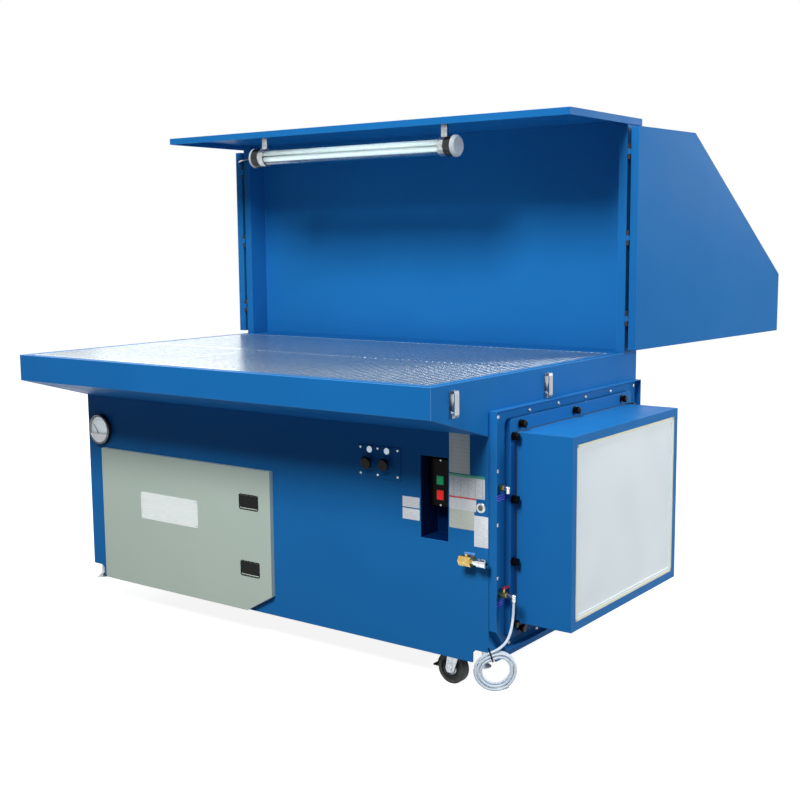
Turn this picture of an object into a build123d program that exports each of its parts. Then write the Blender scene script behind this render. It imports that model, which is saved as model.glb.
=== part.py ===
from build123d import *
import math
import os

# Downdraft table in millimetres: X to the right, Y to the back, Z up from the floor.
# The pieces are drawn with X = 0 at the left side and Y = 0 at the tray's front edge,
# and moved at the end so that the origin lies under the middle of the whole table.

# Overall sizes
table_width = 1830.0
table_depth = 1300.0
rim_height = 990.0
skirt_gap = 102.0
overhang_depth = 300.0
apron_height = 93.0
tray_side_height = 178.0
cabinet_top = rim_height - tray_side_height

# Sheet and clearances
sheet = 3.0
thin_sheet = 2.0
seat_gap = 0.3
running_gap = 0.06
cut_over = 2.0

# Tray rim and grates
rim_width = 32.0
rear_deck_depth = 130.0
grate_height = 25.0
grate_count = 3
grate_gap = 1.5
ledge_width = 15.0
bearer_depth = 30.0
slot_pitch = 25.0
slot_width = 10.0
slot_end_margin = 12.0
slot_middle_web = 22.0
tray_flange = 28.0

# Cabinet front openings
door_left = 90.0
door_width = 868.0
door_bottom_rise = 3.0
door_gauge_gap = 14.0
door_depth = 17.0
door_gap = 0.5
door_chamfer_width = 118.0
door_chamfer_height = 67.0
door_frame_overlap = 38.0
notch_width = 58.0
notch_depth = 46.0
notch_height = 42.0
notch_slant = 12.0

# Door hinge barrels and paddle latches
barrel_radius = 4.5
barrel_pin_radius = 2.0
barrel_length = 60.0
barrel_knuckle = 18.0
barrel_inset = 70.0
barrel_side_gap = 6.0
paddle_width = 83.0
paddle_height = 40.0
paddle_thickness = 3.0
paddle_margin = 58.0
paddle_upper_drop = 98.0
paddle_lower_rise = 132.0
paddle_cup_depth = 11.0
paddle_cup_clear = 2.0
paddle_pin_radius = 1.5
paddle_pin_reach = 1.6
paddle_pin_inset = 5.0
paddle_stem_radius = 4.0

# Gauge
gauge_x = 78.0
gauge_drop = 129.0
gauge_radius = 56.0
gauge_proud = 18.0
gauge_bezel = 6.0
gauge_recess = 9.0
gauge_body_radius = 44.0
gauge_body_depth = 42.0
gauge_cover_drop = 15.0
gauge_pivot_drop = 26.0
needle_pin_radius = 1.5
needle_hub_radius = 4.0
needle_length = 58.0
needle_tail_width = 5.0
needle_tip_width = 1.2
needle_thickness = 1.2
needle_rest_tilt = 38.0

# Control plate with two mushroom buttons and two lamps
control_inset = 326.0
control_width = 170.0
control_drop = 67.0
control_height = 105.0
button_spacing = 69.0
button_rise = 50.0
lamp_rise = 92.0
lamp_radius = 12.5
lamp_height = 4.0
mushroom_radius = 20.0
mushroom_edge = 4.0
mushroom_height = 12.0
mushroom_proud = 25.0
mushroom_stem_radius = 8.0
collar_radius = 14.0
collar_height = 6.0
contact_block_depth = 46.0
contact_block_half = 15.0
stem_tail = 5.0

# Starter recess
recess_inset = 146.0
recess_width = 104.0
recess_drop = 80.0
recess_height = 262.0
recess_depth = 95.0
starter_setback = 35.0
starter_margin = 9.0
starter_height = 158.0
starter_bezel = 5.0
starter_button_width = 24.0
start_button_height = 26.0
stop_button_height = 29.0
start_button_rise = 87.0
stop_button_rise = 40.0
starter_button_proud = 5.0
starter_button_sunk = 9.0
starter_press = 4.0

# Backsplash and posts
backsplash_depth = 98.0
backsplash_height = 818.0
post_width = 32.0

# Canopy
canopy_depth = 529.0
canopy_side_over = 5.0
canopy_rear_over = 5.0
canopy_lip = 24.0

# Wings and their hinges
wing_thickness = 30.0
wing_skin = 1.5
wing_front_gap = 31.0
wing_top_length = 407.0
wing_bottom_gap = 11.0
wing_front_height = 238.0
wing_height = 777.0
wing_splay = 4.9
hinge_offset = 7.0
hinge_radius = 5.6
hinge_pin_radius = 3.0
hinge_knuckle = 17.0
hinge_leaf = 3.0
hinge_leaf_length = 26.0
hinge_gap = 0.4
hinge_rises = (122.0, 405.0, 703.0)
keeper_width = 26.0
keeper_height = 22.0
keeper_thickness = 4.0
keeper_rise = 5.0

# Draw latches on the tray sides
latch_front_y = 105.0
latch_rear_y = 644.0
latch_top_drop = 19.0
latch_height = 80.0
latch_width = 30.0
latch_plate = 2.0
latch_proud = 17.0
latch_ear = 2.0
latch_pin_radius = 2.0
latch_pin_rise = 12.0
latch_pin_out = 8.0
latch_lever_width = 23.0
latch_lever_sheet = 2.5
latch_hook_drop = 9.0

# Work light
light_front_inset = 44.0
light_drop = 93.0
light_left = 420.0
light_right_inset = 451.0
light_radius = 30.0
light_wall = 3.0
light_cap_radius = 37.5
light_cap_length = 46.0
light_cap_chamfer = 6.0
light_socket = 22.0
light_band_width = 26.0
light_band_sheet = 3.0
light_hanger_inset = 58.0
light_lead_radius = 3.0
light_lead_inset = 30.0
light_lead_drop = 40.0

# Side cover and its bolts
cover_front_inset = 4.0
cover_rear_inset = 10.0
cover_top_drop = 102.0
cover_bottom_rise = 33.0
cover_chamfer_depth = 66.0
cover_chamfer_height = 77.0
cover_flange = 25.0
bolt_margin = 42.0
bolt_top_drop = 22.0
bolt_pitch_rows = 6
bolt_column_pitch = 166.0
bolt_column_count = 3
bolt_radius = 7.0
bolt_tip_radius = 4.5
bolt_height = 4.5
bolt_bottom_margin = 11.0

# Filter mount plate, casing and cell
plate_front_inset = 86.0
plate_rear_inset = 76.0
plate_top_drop = 135.0
plate_bottom_rise = 68.0
plate_corner = 14.0
plate_rise = 19.0
casing_inset = 34.0
casing_top_drop = 178.0
casing_bottom_rise = 111.0
casing_length = 194.0
casing_border = 27.0
outlet_margin = 30.0
cell_clear = 1.0
cell_frame = 14.0
cell_depth = 150.0
pad_thickness = 10.0
pad_recess = 3.0
pleat_depth = 22.0
pleat_count = 44
knob_radius = 12.0
knob_waist_radius = 8.0
knob_ring_radius = 13.0
knob_ring = 3.0
knob_height = 21.0
knob_margin = 13.5
knob_top_drop = 20.0
knob_rows = 3
knob_columns = 4
knob_row_start = 57.0
knob_row_end = 75.0
knob_column_start = 53.0
knob_column_end = 45.5

# Air inlet on the front
inlet_inset = 61.0
inlet_height = 430.0
inlet_proud = 30.0
inlet_body_radius = 17.0
inlet_body_length = 42.0
inlet_pipe_radius = 9.0
coupler_length = 52.0
coupler_core_radius = 10.0
coupler_bore_radius = 5.5
coupler_bore_depth = 20.0
coupler_neck_radius = 7.0
coupler_collar_length = 10.0
sleeve_radius = 14.0
sleeve_length = 30.0
sleeve_travel = 6.0
sleeve_groove = 1.5
handle_stem_radius = 4.0
handle_stem_height = 8.0
handle_length = 36.0
handle_width = 10.0
handle_thickness = 4.0
handle_pin_radius = 2.0
handle_pin_length = 6.0

# Valves on the right side
side_valve_inset = 60.0
upper_valve_height = 648.0
drain_height = 315.0
valve_pipe_radius = 7.0
drain_body_radius = 11.0
drain_body_length = 22.0
drain_elbow_reach = 50.0
elbow_radius = 8.0
upper_elbow_reach = 27.0
elbow_drop = 15.0
barb_length = 4.5
drain_handle_length = 31.0

# Drain hose
hose_radius = 4.25
coil_x = 1894.0
coil_y = 240.0
coil_z = 121.0
coil_turn = 36.4
coil_outer = 66.5
coil_pitch = 10.4
coil_layer = 10.6
coil_pinch = 11.5
coil_pinch_angle = 110.0
coil_front_turns = 2
coil_back_turns = 2
coil_start_angle = 118.0
coil_end_length = 9.0
hose_last_run = 26.0
tie_turn_share = 0.972
tie_width = 5.0
tie_band = 1.6
tie_head = 7.0

# Floor pan, feet and casters
floor_height = 142.0
boss_radius = 14.0
boss_height = 15.0
foot_side = 28.0
foot_front = 18.0
foot_radius = 24.0
foot_rim = 3.0
foot_height = 12.0
foot_drop = 12.0
foot_stem_radius = 6.0
foot_stem_length = 142.0
stiffener_width = 60.0
stiffener_height = 30.0
wheel_radius = 50.0
wheel_width = 30.0
wheel_hub_radius = 12.0
wheel_tread = 12.0
wheel_web = 10.0
axle_radius = 5.0
fork_leg = 4.0
fork_gap = 2.5
fork_leg_width = 34.0
caster_plate_length = 100.0
caster_plate_width = 85.0
caster_plate_thickness = 4.0
race_radius = 32.0
race_height = 9.0
race_gap = 0.4
kingpin_radius = 6.0
crown_thickness = 5.0
caster_trail = 27.0
caster_right_inset = 162.0
caster_front_inset = 52.0
caster_left_x = 155.0
caster_rib_gap = 3.0
caster_rear_inset = 85.0
pedal_reach = 70.0
pedal_band = 3.0
pedal_clear = 1.0
pedal_width = 26.0
pedal_plate = 26.0
pedal_pin_radius = 2.5
pedal_pin_height = 108.0

# Inside of the cabinet
fan_side_width = 830.0
deck_drop = 25.0
cartridge_radius = 162.0
cartridge_pleat = 12.0
cartridge_core_radius = 110.0
cartridge_length = 640.0
cartridge_cap = 12.0
cartridge_pleats = 48
cartridge_front_y = 520.0
cartridge_spacing = 360.0
cartridge_height = 470.0
baffle_height = 700.0
baffle_rise = 60.0
dust_tray_left = 130.0
dust_tray_wall_gap = 80.0
dust_tray_front_gap = 30.0
dust_tray_rear_gap = 70.0
dust_tray_height = 85.0
dust_tray_lip = 12.0
tank_radius = 70.0
tank_length = 620.0
tank_wall_gap = 20.0
tank_deck_gap = 17.0
tank_cap = 18.0
blow_pipe_radius = 14.0
nozzle_gap = 16.0
fan_inset = 410.0
fan_height = 430.0
fan_front = 640.0
fan_width = 150.0
fan_scroll = 215.0
fan_scroll_step = 20.0
fan_inlet_radius = 115.0
fan_mouth_height = 160.0
shaft_radius = 14.0
motor_radius = 105.0
motor_length = 240.0
motor_boss = 6.0
impeller_radius = 178.0
impeller_eye_radius = 100.0
impeller_plate = 3.0
impeller_clear = 18.0
impeller_hub_radius = 30.0
blade_count = 10
blade_sheet = 3.0
blade_sweep = 38.0


def box(x0, x1, y0, y1, z0, z1):
    size = Box(x1 - x0, y1 - y0, z1 - z0, align=(Align.MIN, Align.MIN, Align.MIN))
    return Pos(x0, y0, z0) * size


def outline(points):
    return make_face(Polyline(*points, close=True))


def prism_x(points, x0, x1):
    return extrude(Plane.YZ.offset(x0) * outline(points), x1 - x0)


def prism_y(points, y0, y1):
    return extrude(Plane.XZ.offset(-y0) * outline(points), y0 - y1)


def prism_z(points, z0, z1):
    return extrude(Plane.XY.offset(z0) * outline(points), z1 - z0)


def rod_x(x0, x1, y, z, radius):
    face = Plane.YZ.offset(x0) * (Pos(y, z) * Circle(radius))
    return extrude(face, x1 - x0)


def rod_y(y0, y1, x, z, radius):
    face = Plane.XZ.offset(-y0) * (Pos(x, z) * Circle(radius))
    return extrude(face, y0 - y1)


def rod_z(z0, z1, x, y, radius):
    face = Plane.XY.offset(z0) * (Pos(x, y) * Circle(radius))
    return extrude(face, z1 - z0)


def turned_x(points, y, z):
    face = make_face(Polyline(*points, close=True))
    return Pos(0, y, z) * revolve(face, axis=Axis.X)


def turned_y(points, x, z):
    face = make_face(Polyline(*points, close=True))
    return Pos(x, 0, z) * revolve(face, axis=Axis.Y)


def turned_z(points, x, y):
    face = Plane.XZ * make_face(Polyline(*points, close=True))
    return Pos(x, y, 0) * revolve(face, axis=Axis.Z)


def inner(points, wall):
    return offset(outline(points), amount=-wall, kind=Kind.INTERSECTION)


def mirrored(shape):
    return mirror(shape, about=Plane.YZ.offset(table_width / 2))


def group(pieces):
    solids = []
    for piece in pieces:
        solids.extend(piece.solids())
    return Compound(solids)


nodes = {}
joints = {}

# Tray: folded tub with sloping underside, open over the cabinet
slope = (tray_side_height - apron_height) / overhang_depth
slope_wall = sheet * math.hypot(1, slope)
apron_bottom = rim_height - apron_height
grate_seat = rim_height - grate_height
mouth_rear = table_depth - rear_deck_depth
tray_outline = [
    (0, rim_height),
    (0, apron_bottom),
    (overhang_depth, cabinet_top),
    (table_depth, cabinet_top),
    (table_depth, rim_height),
]
tray_cavity = [
    (sheet, rim_height - sheet),
    (sheet, apron_bottom + slope_wall - sheet * slope),
    (overhang_depth, cabinet_top + slope_wall),
    (overhang_depth + tray_flange, cabinet_top + slope_wall),
    (overhang_depth + tray_flange, cabinet_top - cut_over),
    (table_depth - sheet, cabinet_top - cut_over),
    (table_depth - sheet, rim_height - sheet),
]
tray = prism_x(tray_outline, 0, table_width)
tray -= prism_x(tray_cavity, sheet, table_width - sheet)
mouth_left = rim_width
mouth_right = table_width - rim_width
ring_low = grate_seat - sheet
tray -= box(mouth_left, mouth_right, rim_width, mouth_rear, rim_height - sheet - cut_over, rim_height + cut_over)
ledge = box(
    mouth_left - sheet, mouth_right + sheet, rim_width - sheet, mouth_rear + sheet, ring_low, rim_height - sheet
)
ledge -= box(mouth_left, mouth_right, rim_width, mouth_rear, grate_seat, rim_height)
ledge -= box(
    mouth_left + ledge_width,
    mouth_right - ledge_width,
    rim_width + ledge_width,
    mouth_rear - ledge_width,
    ring_low - cut_over,
    grate_seat + cut_over,
)
tray += ledge
grate_width = (mouth_right - mouth_left) / grate_count
for seam in range(1, grate_count):
    seam_x = mouth_left + grate_width * seam
    bearer = box(seam_x - ledge_width, seam_x + ledge_width, rim_width, mouth_rear, ring_low, grate_seat)
    bearer += box(seam_x - sheet / 2, seam_x + sheet / 2, rim_width, mouth_rear, grate_seat - bearer_depth, ring_low)
    tray += bearer
nodes["tray_shell"] = tray

# Grates: folded plates with long slots from front to back
grates = []
grate_length = mouth_rear - rim_width
slot_run = (grate_length - slot_end_margin * 2 - slot_middle_web) / 2
for index in range(grate_count):
    left = mouth_left + grate_width * index + grate_gap
    right = left + grate_width - grate_gap * 2
    front = rim_width + grate_gap
    rear = mouth_rear - grate_gap
    grate = box(left, right, front, rear, grate_seat, rim_height)
    hollow_low = grate_seat - cut_over
    grate -= box(left + sheet, right - sheet, front + sheet, rear - sheet, hollow_low, rim_height - sheet)
    slots = int((right - left - slot_pitch) // slot_pitch) + 1
    centre = (left + right) / 2
    near = Pos(centre, front + slot_end_margin + slot_run / 2)
    far = Pos(centre, rear - slot_end_margin - slot_run / 2)
    slot = Rectangle(slot_width, slot_run)
    pattern = GridLocations(slot_pitch, slot_run, slots, 1)
    cutters = Sketch() + [near * place * slot for place in pattern] + [far * place * slot for place in pattern]
    grate -= extrude(Plane.XY.offset(rim_height - sheet - cut_over) * cutters, sheet + cut_over * 2)
    grates.append(grate)
nodes["work_grates"] = group(grates)

# Cabinet front sheet with its cut-outs
door_bottom = skirt_gap + door_bottom_rise
gauge_z = cabinet_top - gauge_drop
door_top = gauge_z - gauge_radius - door_gauge_gap
door_right = door_left + door_width
panel_front = overhang_depth
panel_back = overhang_depth + sheet
control_top = cabinet_top - control_drop
control_bottom = control_top - control_height
control_right = table_width - control_inset
control_left = control_right - control_width
control_x = (control_left + control_right) / 2
recess_top = cabinet_top - recess_drop
recess_bottom = recess_top - recess_height
recess_right = table_width - recess_inset
recess_left = recess_right - recess_width
front_outline = [
    (notch_width, skirt_gap),
    (table_width - notch_width, skirt_gap),
    (table_width - notch_width, skirt_gap + notch_height - notch_slant),
    (table_width - notch_width + notch_slant, skirt_gap + notch_height),
    (table_width, skirt_gap + notch_height),
    (table_width, cabinet_top),
    (0, cabinet_top),
    (0, skirt_gap + notch_height),
    (notch_width - notch_slant, skirt_gap + notch_height),
    (notch_width, skirt_gap + notch_height - notch_slant),
]
front = prism_y(front_outline, panel_front, panel_back)
opening_left = door_left + door_frame_overlap
opening_right = door_right - door_frame_overlap * 2
opening_bottom = floor_height + sheet * 2
opening_top = door_top - door_frame_overlap
front -= box(
    opening_left, opening_right, panel_front - cut_over, panel_back + cut_over, opening_bottom, opening_top
)
front -= box(recess_left, recess_right, panel_front - cut_over, panel_back + cut_over, recess_bottom, recess_top)
front -= rod_y(panel_front - cut_over, panel_back + cut_over, gauge_x, gauge_z, gauge_body_radius + seat_gap)
button_z = control_bottom + button_rise
button_xs = (control_x - button_spacing / 2 - mushroom_edge, control_x + button_spacing / 2 - mushroom_edge)
for button_x in button_xs:
    hole_radius = mushroom_stem_radius + sheet
    front -= rod_y(panel_front - cut_over, panel_back + cut_over, button_x, button_z, hole_radius)

# Door hinge barrels at the left edge of the door
barrel_x = door_left - barrel_side_gap
barrel_y = panel_front - barrel_radius - sheet / 2
barrel_zs = (door_bottom + barrel_inset, door_top - barrel_inset - barrel_length)
leaf_front = barrel_y - barrel_pin_radius / 2
for base in barrel_zs:
    for level in (base, base + barrel_length - barrel_knuckle):
        front += rod_z(level, level + barrel_knuckle, barrel_x, barrel_y, barrel_radius)
        leaf_left = barrel_x - barrel_radius
        front += box(leaf_left, barrel_x, leaf_front, panel_front, level, level + barrel_knuckle)
    front += rod_z(base, base + barrel_length, barrel_x, barrel_y, barrel_pin_radius)
nodes["front_panel"] = front
joints["door_hinge"] = (barrel_x, barrel_y, (door_bottom + door_top) / 2)

# Door: shallow pan with a cut corner, cups for the paddles and hinge knuckles
door_front = panel_front - door_depth - door_gap
door_back = panel_front - door_gap
door_outline = [
    (door_left, door_bottom),
    (door_right - door_chamfer_width, door_bottom),
    (door_right, door_bottom + door_chamfer_height),
    (door_right, door_top),
    (door_left, door_top),
]
door = prism_y(door_outline, door_front, door_back)
door_hollow = Plane.XZ.offset(-door_front - thin_sheet) * inner(door_outline, thin_sheet)
door -= extrude(door_hollow, -door_depth)
cup_half_width = paddle_width / 2 + paddle_cup_clear
cup_half_height = paddle_height / 2 + paddle_cup_clear
paddle_x = door_right - paddle_margin - paddle_width / 2
paddle_zs = {
    "door_paddle_upper": door_top - paddle_upper_drop - paddle_height / 2,
    "door_paddle_lower": door_bottom + paddle_lower_rise + paddle_height / 2,
}
pin_x = paddle_x - paddle_width / 2 + paddle_pin_inset
pin_y = door_front + paddle_thickness / 2 + paddle_cup_clear
for name, z in paddle_zs.items():
    door += box(
        paddle_x - cup_half_width - thin_sheet,
        paddle_x + cup_half_width + thin_sheet,
        door_front,
        door_front + paddle_cup_depth + thin_sheet,
        z - cup_half_height - thin_sheet,
        z + cup_half_height + thin_sheet,
    )
    door -= box(
        paddle_x - cup_half_width,
        paddle_x + cup_half_width,
        door_front - cut_over,
        door_front + paddle_cup_depth,
        z - cup_half_height,
        z + cup_half_height,
    )
    pin_hole = paddle_pin_radius + running_gap
    half_pin = cup_half_height + paddle_pin_reach
    door -= rod_z(z - half_pin, z + half_pin, pin_x, pin_y, pin_hole)
    paddle = box(
        paddle_x - paddle_width / 2,
        paddle_x + paddle_width / 2,
        pin_y - paddle_thickness / 2,
        pin_y + paddle_thickness / 2,
        z - paddle_height / 2,
        z + paddle_height / 2,
    )
    edges = paddle.edges().filter_by(Axis.Y)
    paddle = fillet(edges, paddle_pin_inset)
    reach = half_pin - seat_gap
    paddle += rod_z(z - reach, z + reach, pin_x, pin_y, paddle_pin_radius)
    tongue_back = door_front + paddle_cup_depth - seat_gap * 2
    paddle += rod_y(pin_y, tongue_back, paddle_x + paddle_width / 4, z, paddle_stem_radius)
    nodes[name] = paddle
    joints[name + "_hinge"] = (pin_x, pin_y, z)
for base in barrel_zs:
    low = base + barrel_knuckle + seat_gap
    high = base + barrel_length - barrel_knuckle - seat_gap
    door += rod_z(low, high, barrel_x, barrel_y, barrel_radius)
    tongue_front = barrel_y - barrel_radius
    door += box(barrel_x, door_left + thin_sheet / 2, tongue_front, tongue_front + thin_sheet, low, high)
    door -= rod_z(low - cut_over, high + cut_over, barrel_x, barrel_y, barrel_pin_radius + running_gap)
nodes["door"] = door

# Sides and rear of the cabinet: three sheets with notched lower corners
notch_top = skirt_gap + notch_height
notch_rear = table_depth - notch_depth
rear_face = table_depth - sheet
left_sheet = box(0, sheet, panel_back, rear_face, skirt_gap, cabinet_top)
right_sheet = box(table_width - sheet, table_width, panel_back, rear_face, skirt_gap, cabinet_top)
rear_sheet = box(0, table_width, rear_face, table_depth, skirt_gap, cabinet_top)
notches = Part()
for x0, x1 in ((-cut_over, notch_width), (table_width - notch_width, table_width + cut_over)):
    notches += box(x0, x1, panel_front - cut_over, panel_front + notch_depth, skirt_gap - cut_over, notch_top)
    notches += box(x0, x1, notch_rear, table_depth + cut_over, skirt_gap - cut_over, notch_top)
cover_front = panel_front + cover_front_inset
cover_rear = table_depth - cover_rear_inset
plate_front = cover_front + plate_front_inset
plate_rear = cover_rear - plate_rear_inset
casing_front = plate_front + casing_inset
casing_rear = plate_rear - casing_inset
outlet_front = casing_front + outlet_margin
outlet_rear = casing_rear - outlet_margin
casing_top = rim_height - casing_top_drop
casing_bottom = skirt_gap + casing_bottom_rise
outlet_top = casing_top - outlet_margin
outlet_bottom = casing_bottom + outlet_margin
right_sheet -= box(
    table_width - sheet - cut_over, table_width + cut_over, outlet_front, outlet_rear, outlet_bottom, outlet_top
)
nodes["cabinet_wrap"] = group([piece - notches for piece in (left_sheet, rear_sheet, right_sheet)])

# Base frame: floor plate on four edge bars and two hat stiffeners, with bosses for the feet
pan_left = sheet
pan_right = table_width - sheet
pan_front = panel_back
pan_rear = table_depth - sheet
pan_span = pan_rear - pan_front
floor_top = floor_height + sheet
side_front = panel_front + notch_depth
bar_right = table_width - notch_width
floor = box(pan_left, pan_right, pan_front, pan_rear, floor_height, floor_top)
frame_parts = [
    box(notch_width, bar_right, pan_front, pan_front + sheet, skirt_gap, floor_height),
    box(notch_width, bar_right, pan_rear - sheet, pan_rear, skirt_gap, floor_height),
    box(pan_left, pan_left + sheet, side_front, notch_rear, skirt_gap, floor_height),
    box(pan_right - sheet, pan_right, side_front, notch_rear, skirt_gap, floor_height),
]
rib_low = floor_height - stiffener_height
for share in (1 / 3, 2 / 3):
    rib_front = pan_front + pan_span * share - stiffener_width / 2
    rib_rear = rib_front + stiffener_width
    rib = box(pan_left + sheet, pan_right - sheet, rib_front, rib_rear, rib_low, floor_height)
    rib -= box(pan_left, pan_right, rib_front + sheet, rib_rear - sheet, rib_low + sheet, floor_height)
    frame_parts.append(rib)
foot_xs = {"left": foot_side, "right": table_width - foot_side}
foot_ys = {"front": panel_front + foot_front, "rear": table_depth - foot_front}
boss_top = floor_height + boss_height
hole_radius = foot_stem_radius + running_gap
for foot_x in foot_xs.values():
    for foot_y in foot_ys.values():
        hole = rod_z(floor_height - cut_over, boss_top + cut_over, foot_x, foot_y, hole_radius)
        floor -= hole
        frame_parts.append(rod_z(floor_top, boss_top, foot_x, foot_y, boss_radius) - hole)
nodes["base_frame"] = group([floor, *frame_parts])

# Levelling feet: domed discs on long screwed stems
foot_low = skirt_gap - foot_drop
foot_high = foot_low + foot_height
for side, foot_x in foot_xs.items():
    for end, foot_y in foot_ys.items():
        foot_profile = [
            (0, foot_low),
            (foot_radius, foot_low),
            (foot_radius, foot_low + foot_rim),
            (foot_stem_radius * 2, foot_high),
            (foot_stem_radius, foot_high),
            (foot_stem_radius, foot_high + foot_stem_length),
            (0, foot_high + foot_stem_length),
        ]
        name = "levelling_foot_" + end + "_" + side
        nodes[name] = turned_z(foot_profile, foot_x, foot_y)
        joints[name + "_slide"] = (foot_x, foot_y, foot_high)

# Backsplash with two box posts, folded from one sheet and standing on the rear deck
splash_front = table_depth - backsplash_depth
splash_top = rim_height + backsplash_height
splash_outline = [
    (0, splash_front),
    (post_width, splash_front),
    (post_width, table_depth - sheet),
    (table_width - post_width, table_depth - sheet),
    (table_width - post_width, splash_front),
    (table_width, splash_front),
    (table_width, table_depth),
    (0, table_depth),
]
splash = prism_z(splash_outline, rim_height, splash_top)
for x0 in (sheet, table_width - post_width + sheet):
    x1 = x0 + post_width - sheet * 2
    splash -= box(
        x0, x1, splash_front + sheet, table_depth - sheet, rim_height - cut_over, splash_top + cut_over
    )
nodes["backsplash"] = splash

# Canopy: one sheet with turned-down lips, resting on the backsplash
canopy_top = splash_top + sheet
canopy_front = table_depth + canopy_rear_over - canopy_depth
canopy = box(
    -canopy_side_over,
    table_width + canopy_side_over,
    canopy_front,
    table_depth + canopy_rear_over,
    canopy_top - canopy_lip,
    canopy_top,
)
canopy -= box(
    sheet - canopy_side_over,
    table_width + canopy_side_over - sheet,
    canopy_front + sheet,
    table_depth + canopy_rear_over - sheet,
    canopy_top - canopy_lip - cut_over,
    splash_top,
)
nodes["canopy"] = canopy

# Wings: hollow panels with a sloping upper edge, hinged on the posts
hinge_x = table_width + hinge_offset
hinge_y = splash_front - keeper_thickness
wing_low = rim_height + wing_bottom_gap
wing_high = wing_low + wing_height
wing_in = hinge_x + hinge_offset
wing_out = wing_in + wing_thickness
wing_length = splash_front - wing_front_gap
wing_end = splash_front + wing_length
wing_outline = [
    (splash_front, wing_low),
    (wing_end, wing_low),
    (wing_end, wing_low + wing_front_height),
    (splash_front + wing_top_length, wing_high),
    (splash_front, wing_high),
]
wing = prism_x(wing_outline, wing_in, wing_out)
wing_void = Plane.YZ.offset(wing_in + wing_skin) * inner(wing_outline, wing_skin)
wing -= extrude(wing_void, wing_thickness - wing_skin * 2)
keeper_ys = (hinge_y * 2 - latch_front_y, hinge_y * 2 - latch_rear_y)
for keeper_y in keeper_ys:
    low = wing_low + keeper_rise
    keeper = box(
        wing_in - keeper_thickness,
        wing_in,
        keeper_y - keeper_width / 2,
        keeper_y + keeper_width / 2,
        low,
        low + keeper_height,
    )
    hook_edge = keeper.edges().filter_by(Axis.Y).sort_by(Axis.X)[0:2]
    wing += chamfer(hook_edge, keeper_thickness / 3)
fixed_hinges = []
for rise in hinge_rises:
    middle = rim_height + rise
    low = middle - hinge_knuckle / 2
    high = middle + hinge_knuckle / 2
    wing += box(wing_in - hinge_leaf, wing_in, hinge_y, hinge_y + hinge_leaf_length, low, high)
    wing += rod_z(low, high, hinge_x, hinge_y, hinge_radius)
    wing -= rod_z(low - cut_over, high + cut_over, hinge_x, hinge_y, hinge_pin_radius + running_gap)
    knuckle_low = low - hinge_gap - hinge_knuckle
    knuckle_high = high + hinge_gap + hinge_knuckle
    fixed = rod_z(knuckle_low, knuckle_high, hinge_x, hinge_y, hinge_pin_radius)
    for start in (knuckle_low, high + hinge_gap):
        end = start + hinge_knuckle
        fixed += rod_z(start, end, hinge_x, hinge_y, hinge_radius)
        fixed += box(table_width, table_width + hinge_leaf, hinge_y, hinge_y + hinge_leaf_length, start, end)
    fixed_hinges.append(fixed)
wing = wing.rotate(Axis((hinge_x, hinge_y, 0), (0, 0, 1)), -wing_splay)
nodes["wing_right"] = wing
nodes["wing_left"] = mirrored(wing)
nodes["wing_hinge_posts"] = group(fixed_hinges + [mirrored(piece) for piece in fixed_hinges])
joints["wing_right_hinge"] = (hinge_x, hinge_y, (wing_low + wing_high) / 2)
joints["wing_left_hinge"] = (table_width - hinge_x, hinge_y, (wing_low + wing_high) / 2)

# Draw latches: base plate with ears and pin, hooked lever on the pin
latch_top = rim_height - latch_top_drop
latch_low = latch_top - latch_height
latch_pin_z = latch_low + latch_pin_rise
latch_pin_x = table_width + latch_pin_out
ear_outline_x = table_width + latch_pin_out + latch_pin_radius * 2
lever_out = table_width + latch_proud
lever_in = lever_out - latch_lever_sheet
bases = []
for end, latch_y in (("front", latch_front_y), ("rear", latch_rear_y)):
    side_a = latch_y - latch_width / 2
    side_b = latch_y + latch_width / 2
    base = box(table_width, table_width + latch_plate, side_a, side_b, latch_low, latch_top)
    for ear_y in (side_a, side_b - latch_ear):
        ear = [
            (table_width, latch_low),
            (ear_outline_x, latch_low + latch_pin_radius),
            (ear_outline_x, latch_pin_z + latch_pin_radius * 2),
            (table_width, latch_pin_z + latch_pin_rise),
        ]
        base += prism_y(ear, ear_y, ear_y + latch_ear)
    base += rod_y(side_a, side_b, latch_pin_x, latch_pin_z, latch_pin_radius)
    bases.append(base)
    hook_x = table_width + latch_plate + latch_lever_sheet
    lever_low = latch_pin_z - latch_pin_radius
    lever_profile = [
        (lever_in, lever_low),
        (lever_out, lever_low),
        (lever_out, latch_top - latch_hook_drop),
        (lever_out - latch_lever_sheet, latch_top),
        (hook_x + latch_lever_sheet, latch_top),
        (hook_x, latch_top - latch_hook_drop),
        (hook_x + latch_lever_sheet, latch_top - latch_hook_drop),
        (hook_x + latch_lever_sheet * 2, latch_top - latch_lever_sheet),
        (lever_in - latch_lever_sheet / 2, latch_top - latch_lever_sheet),
        (lever_in, latch_top - latch_hook_drop),
    ]
    half = latch_lever_width / 2
    lever = prism_y(lever_profile, latch_y - half, latch_y + half)
    cheek = [
        (latch_pin_x - latch_pin_radius * 2, latch_pin_z - latch_pin_radius * 2),
        (lever_in, lever_low),
        (lever_in, latch_top - latch_height / 3),
        (latch_pin_x - latch_pin_radius * 2, latch_pin_z + latch_pin_radius * 2),
    ]
    for cheek_y in (latch_y - half, latch_y + half - latch_ear):
        lever += prism_y(cheek, cheek_y, cheek_y + latch_ear)
    bore = latch_pin_radius + running_gap
    lever -= rod_y(side_a, side_b, latch_pin_x, latch_pin_z, bore)
    nodes["draw_latch_" + end + "_right"] = lever
    nodes["draw_latch_" + end + "_left"] = mirrored(lever)
    joints["draw_latch_" + end + "_right_hinge"] = (latch_pin_x, latch_y, latch_pin_z)
    joints["draw_latch_" + end + "_left_hinge"] = (table_width - latch_pin_x, latch_y, latch_pin_z)
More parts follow.
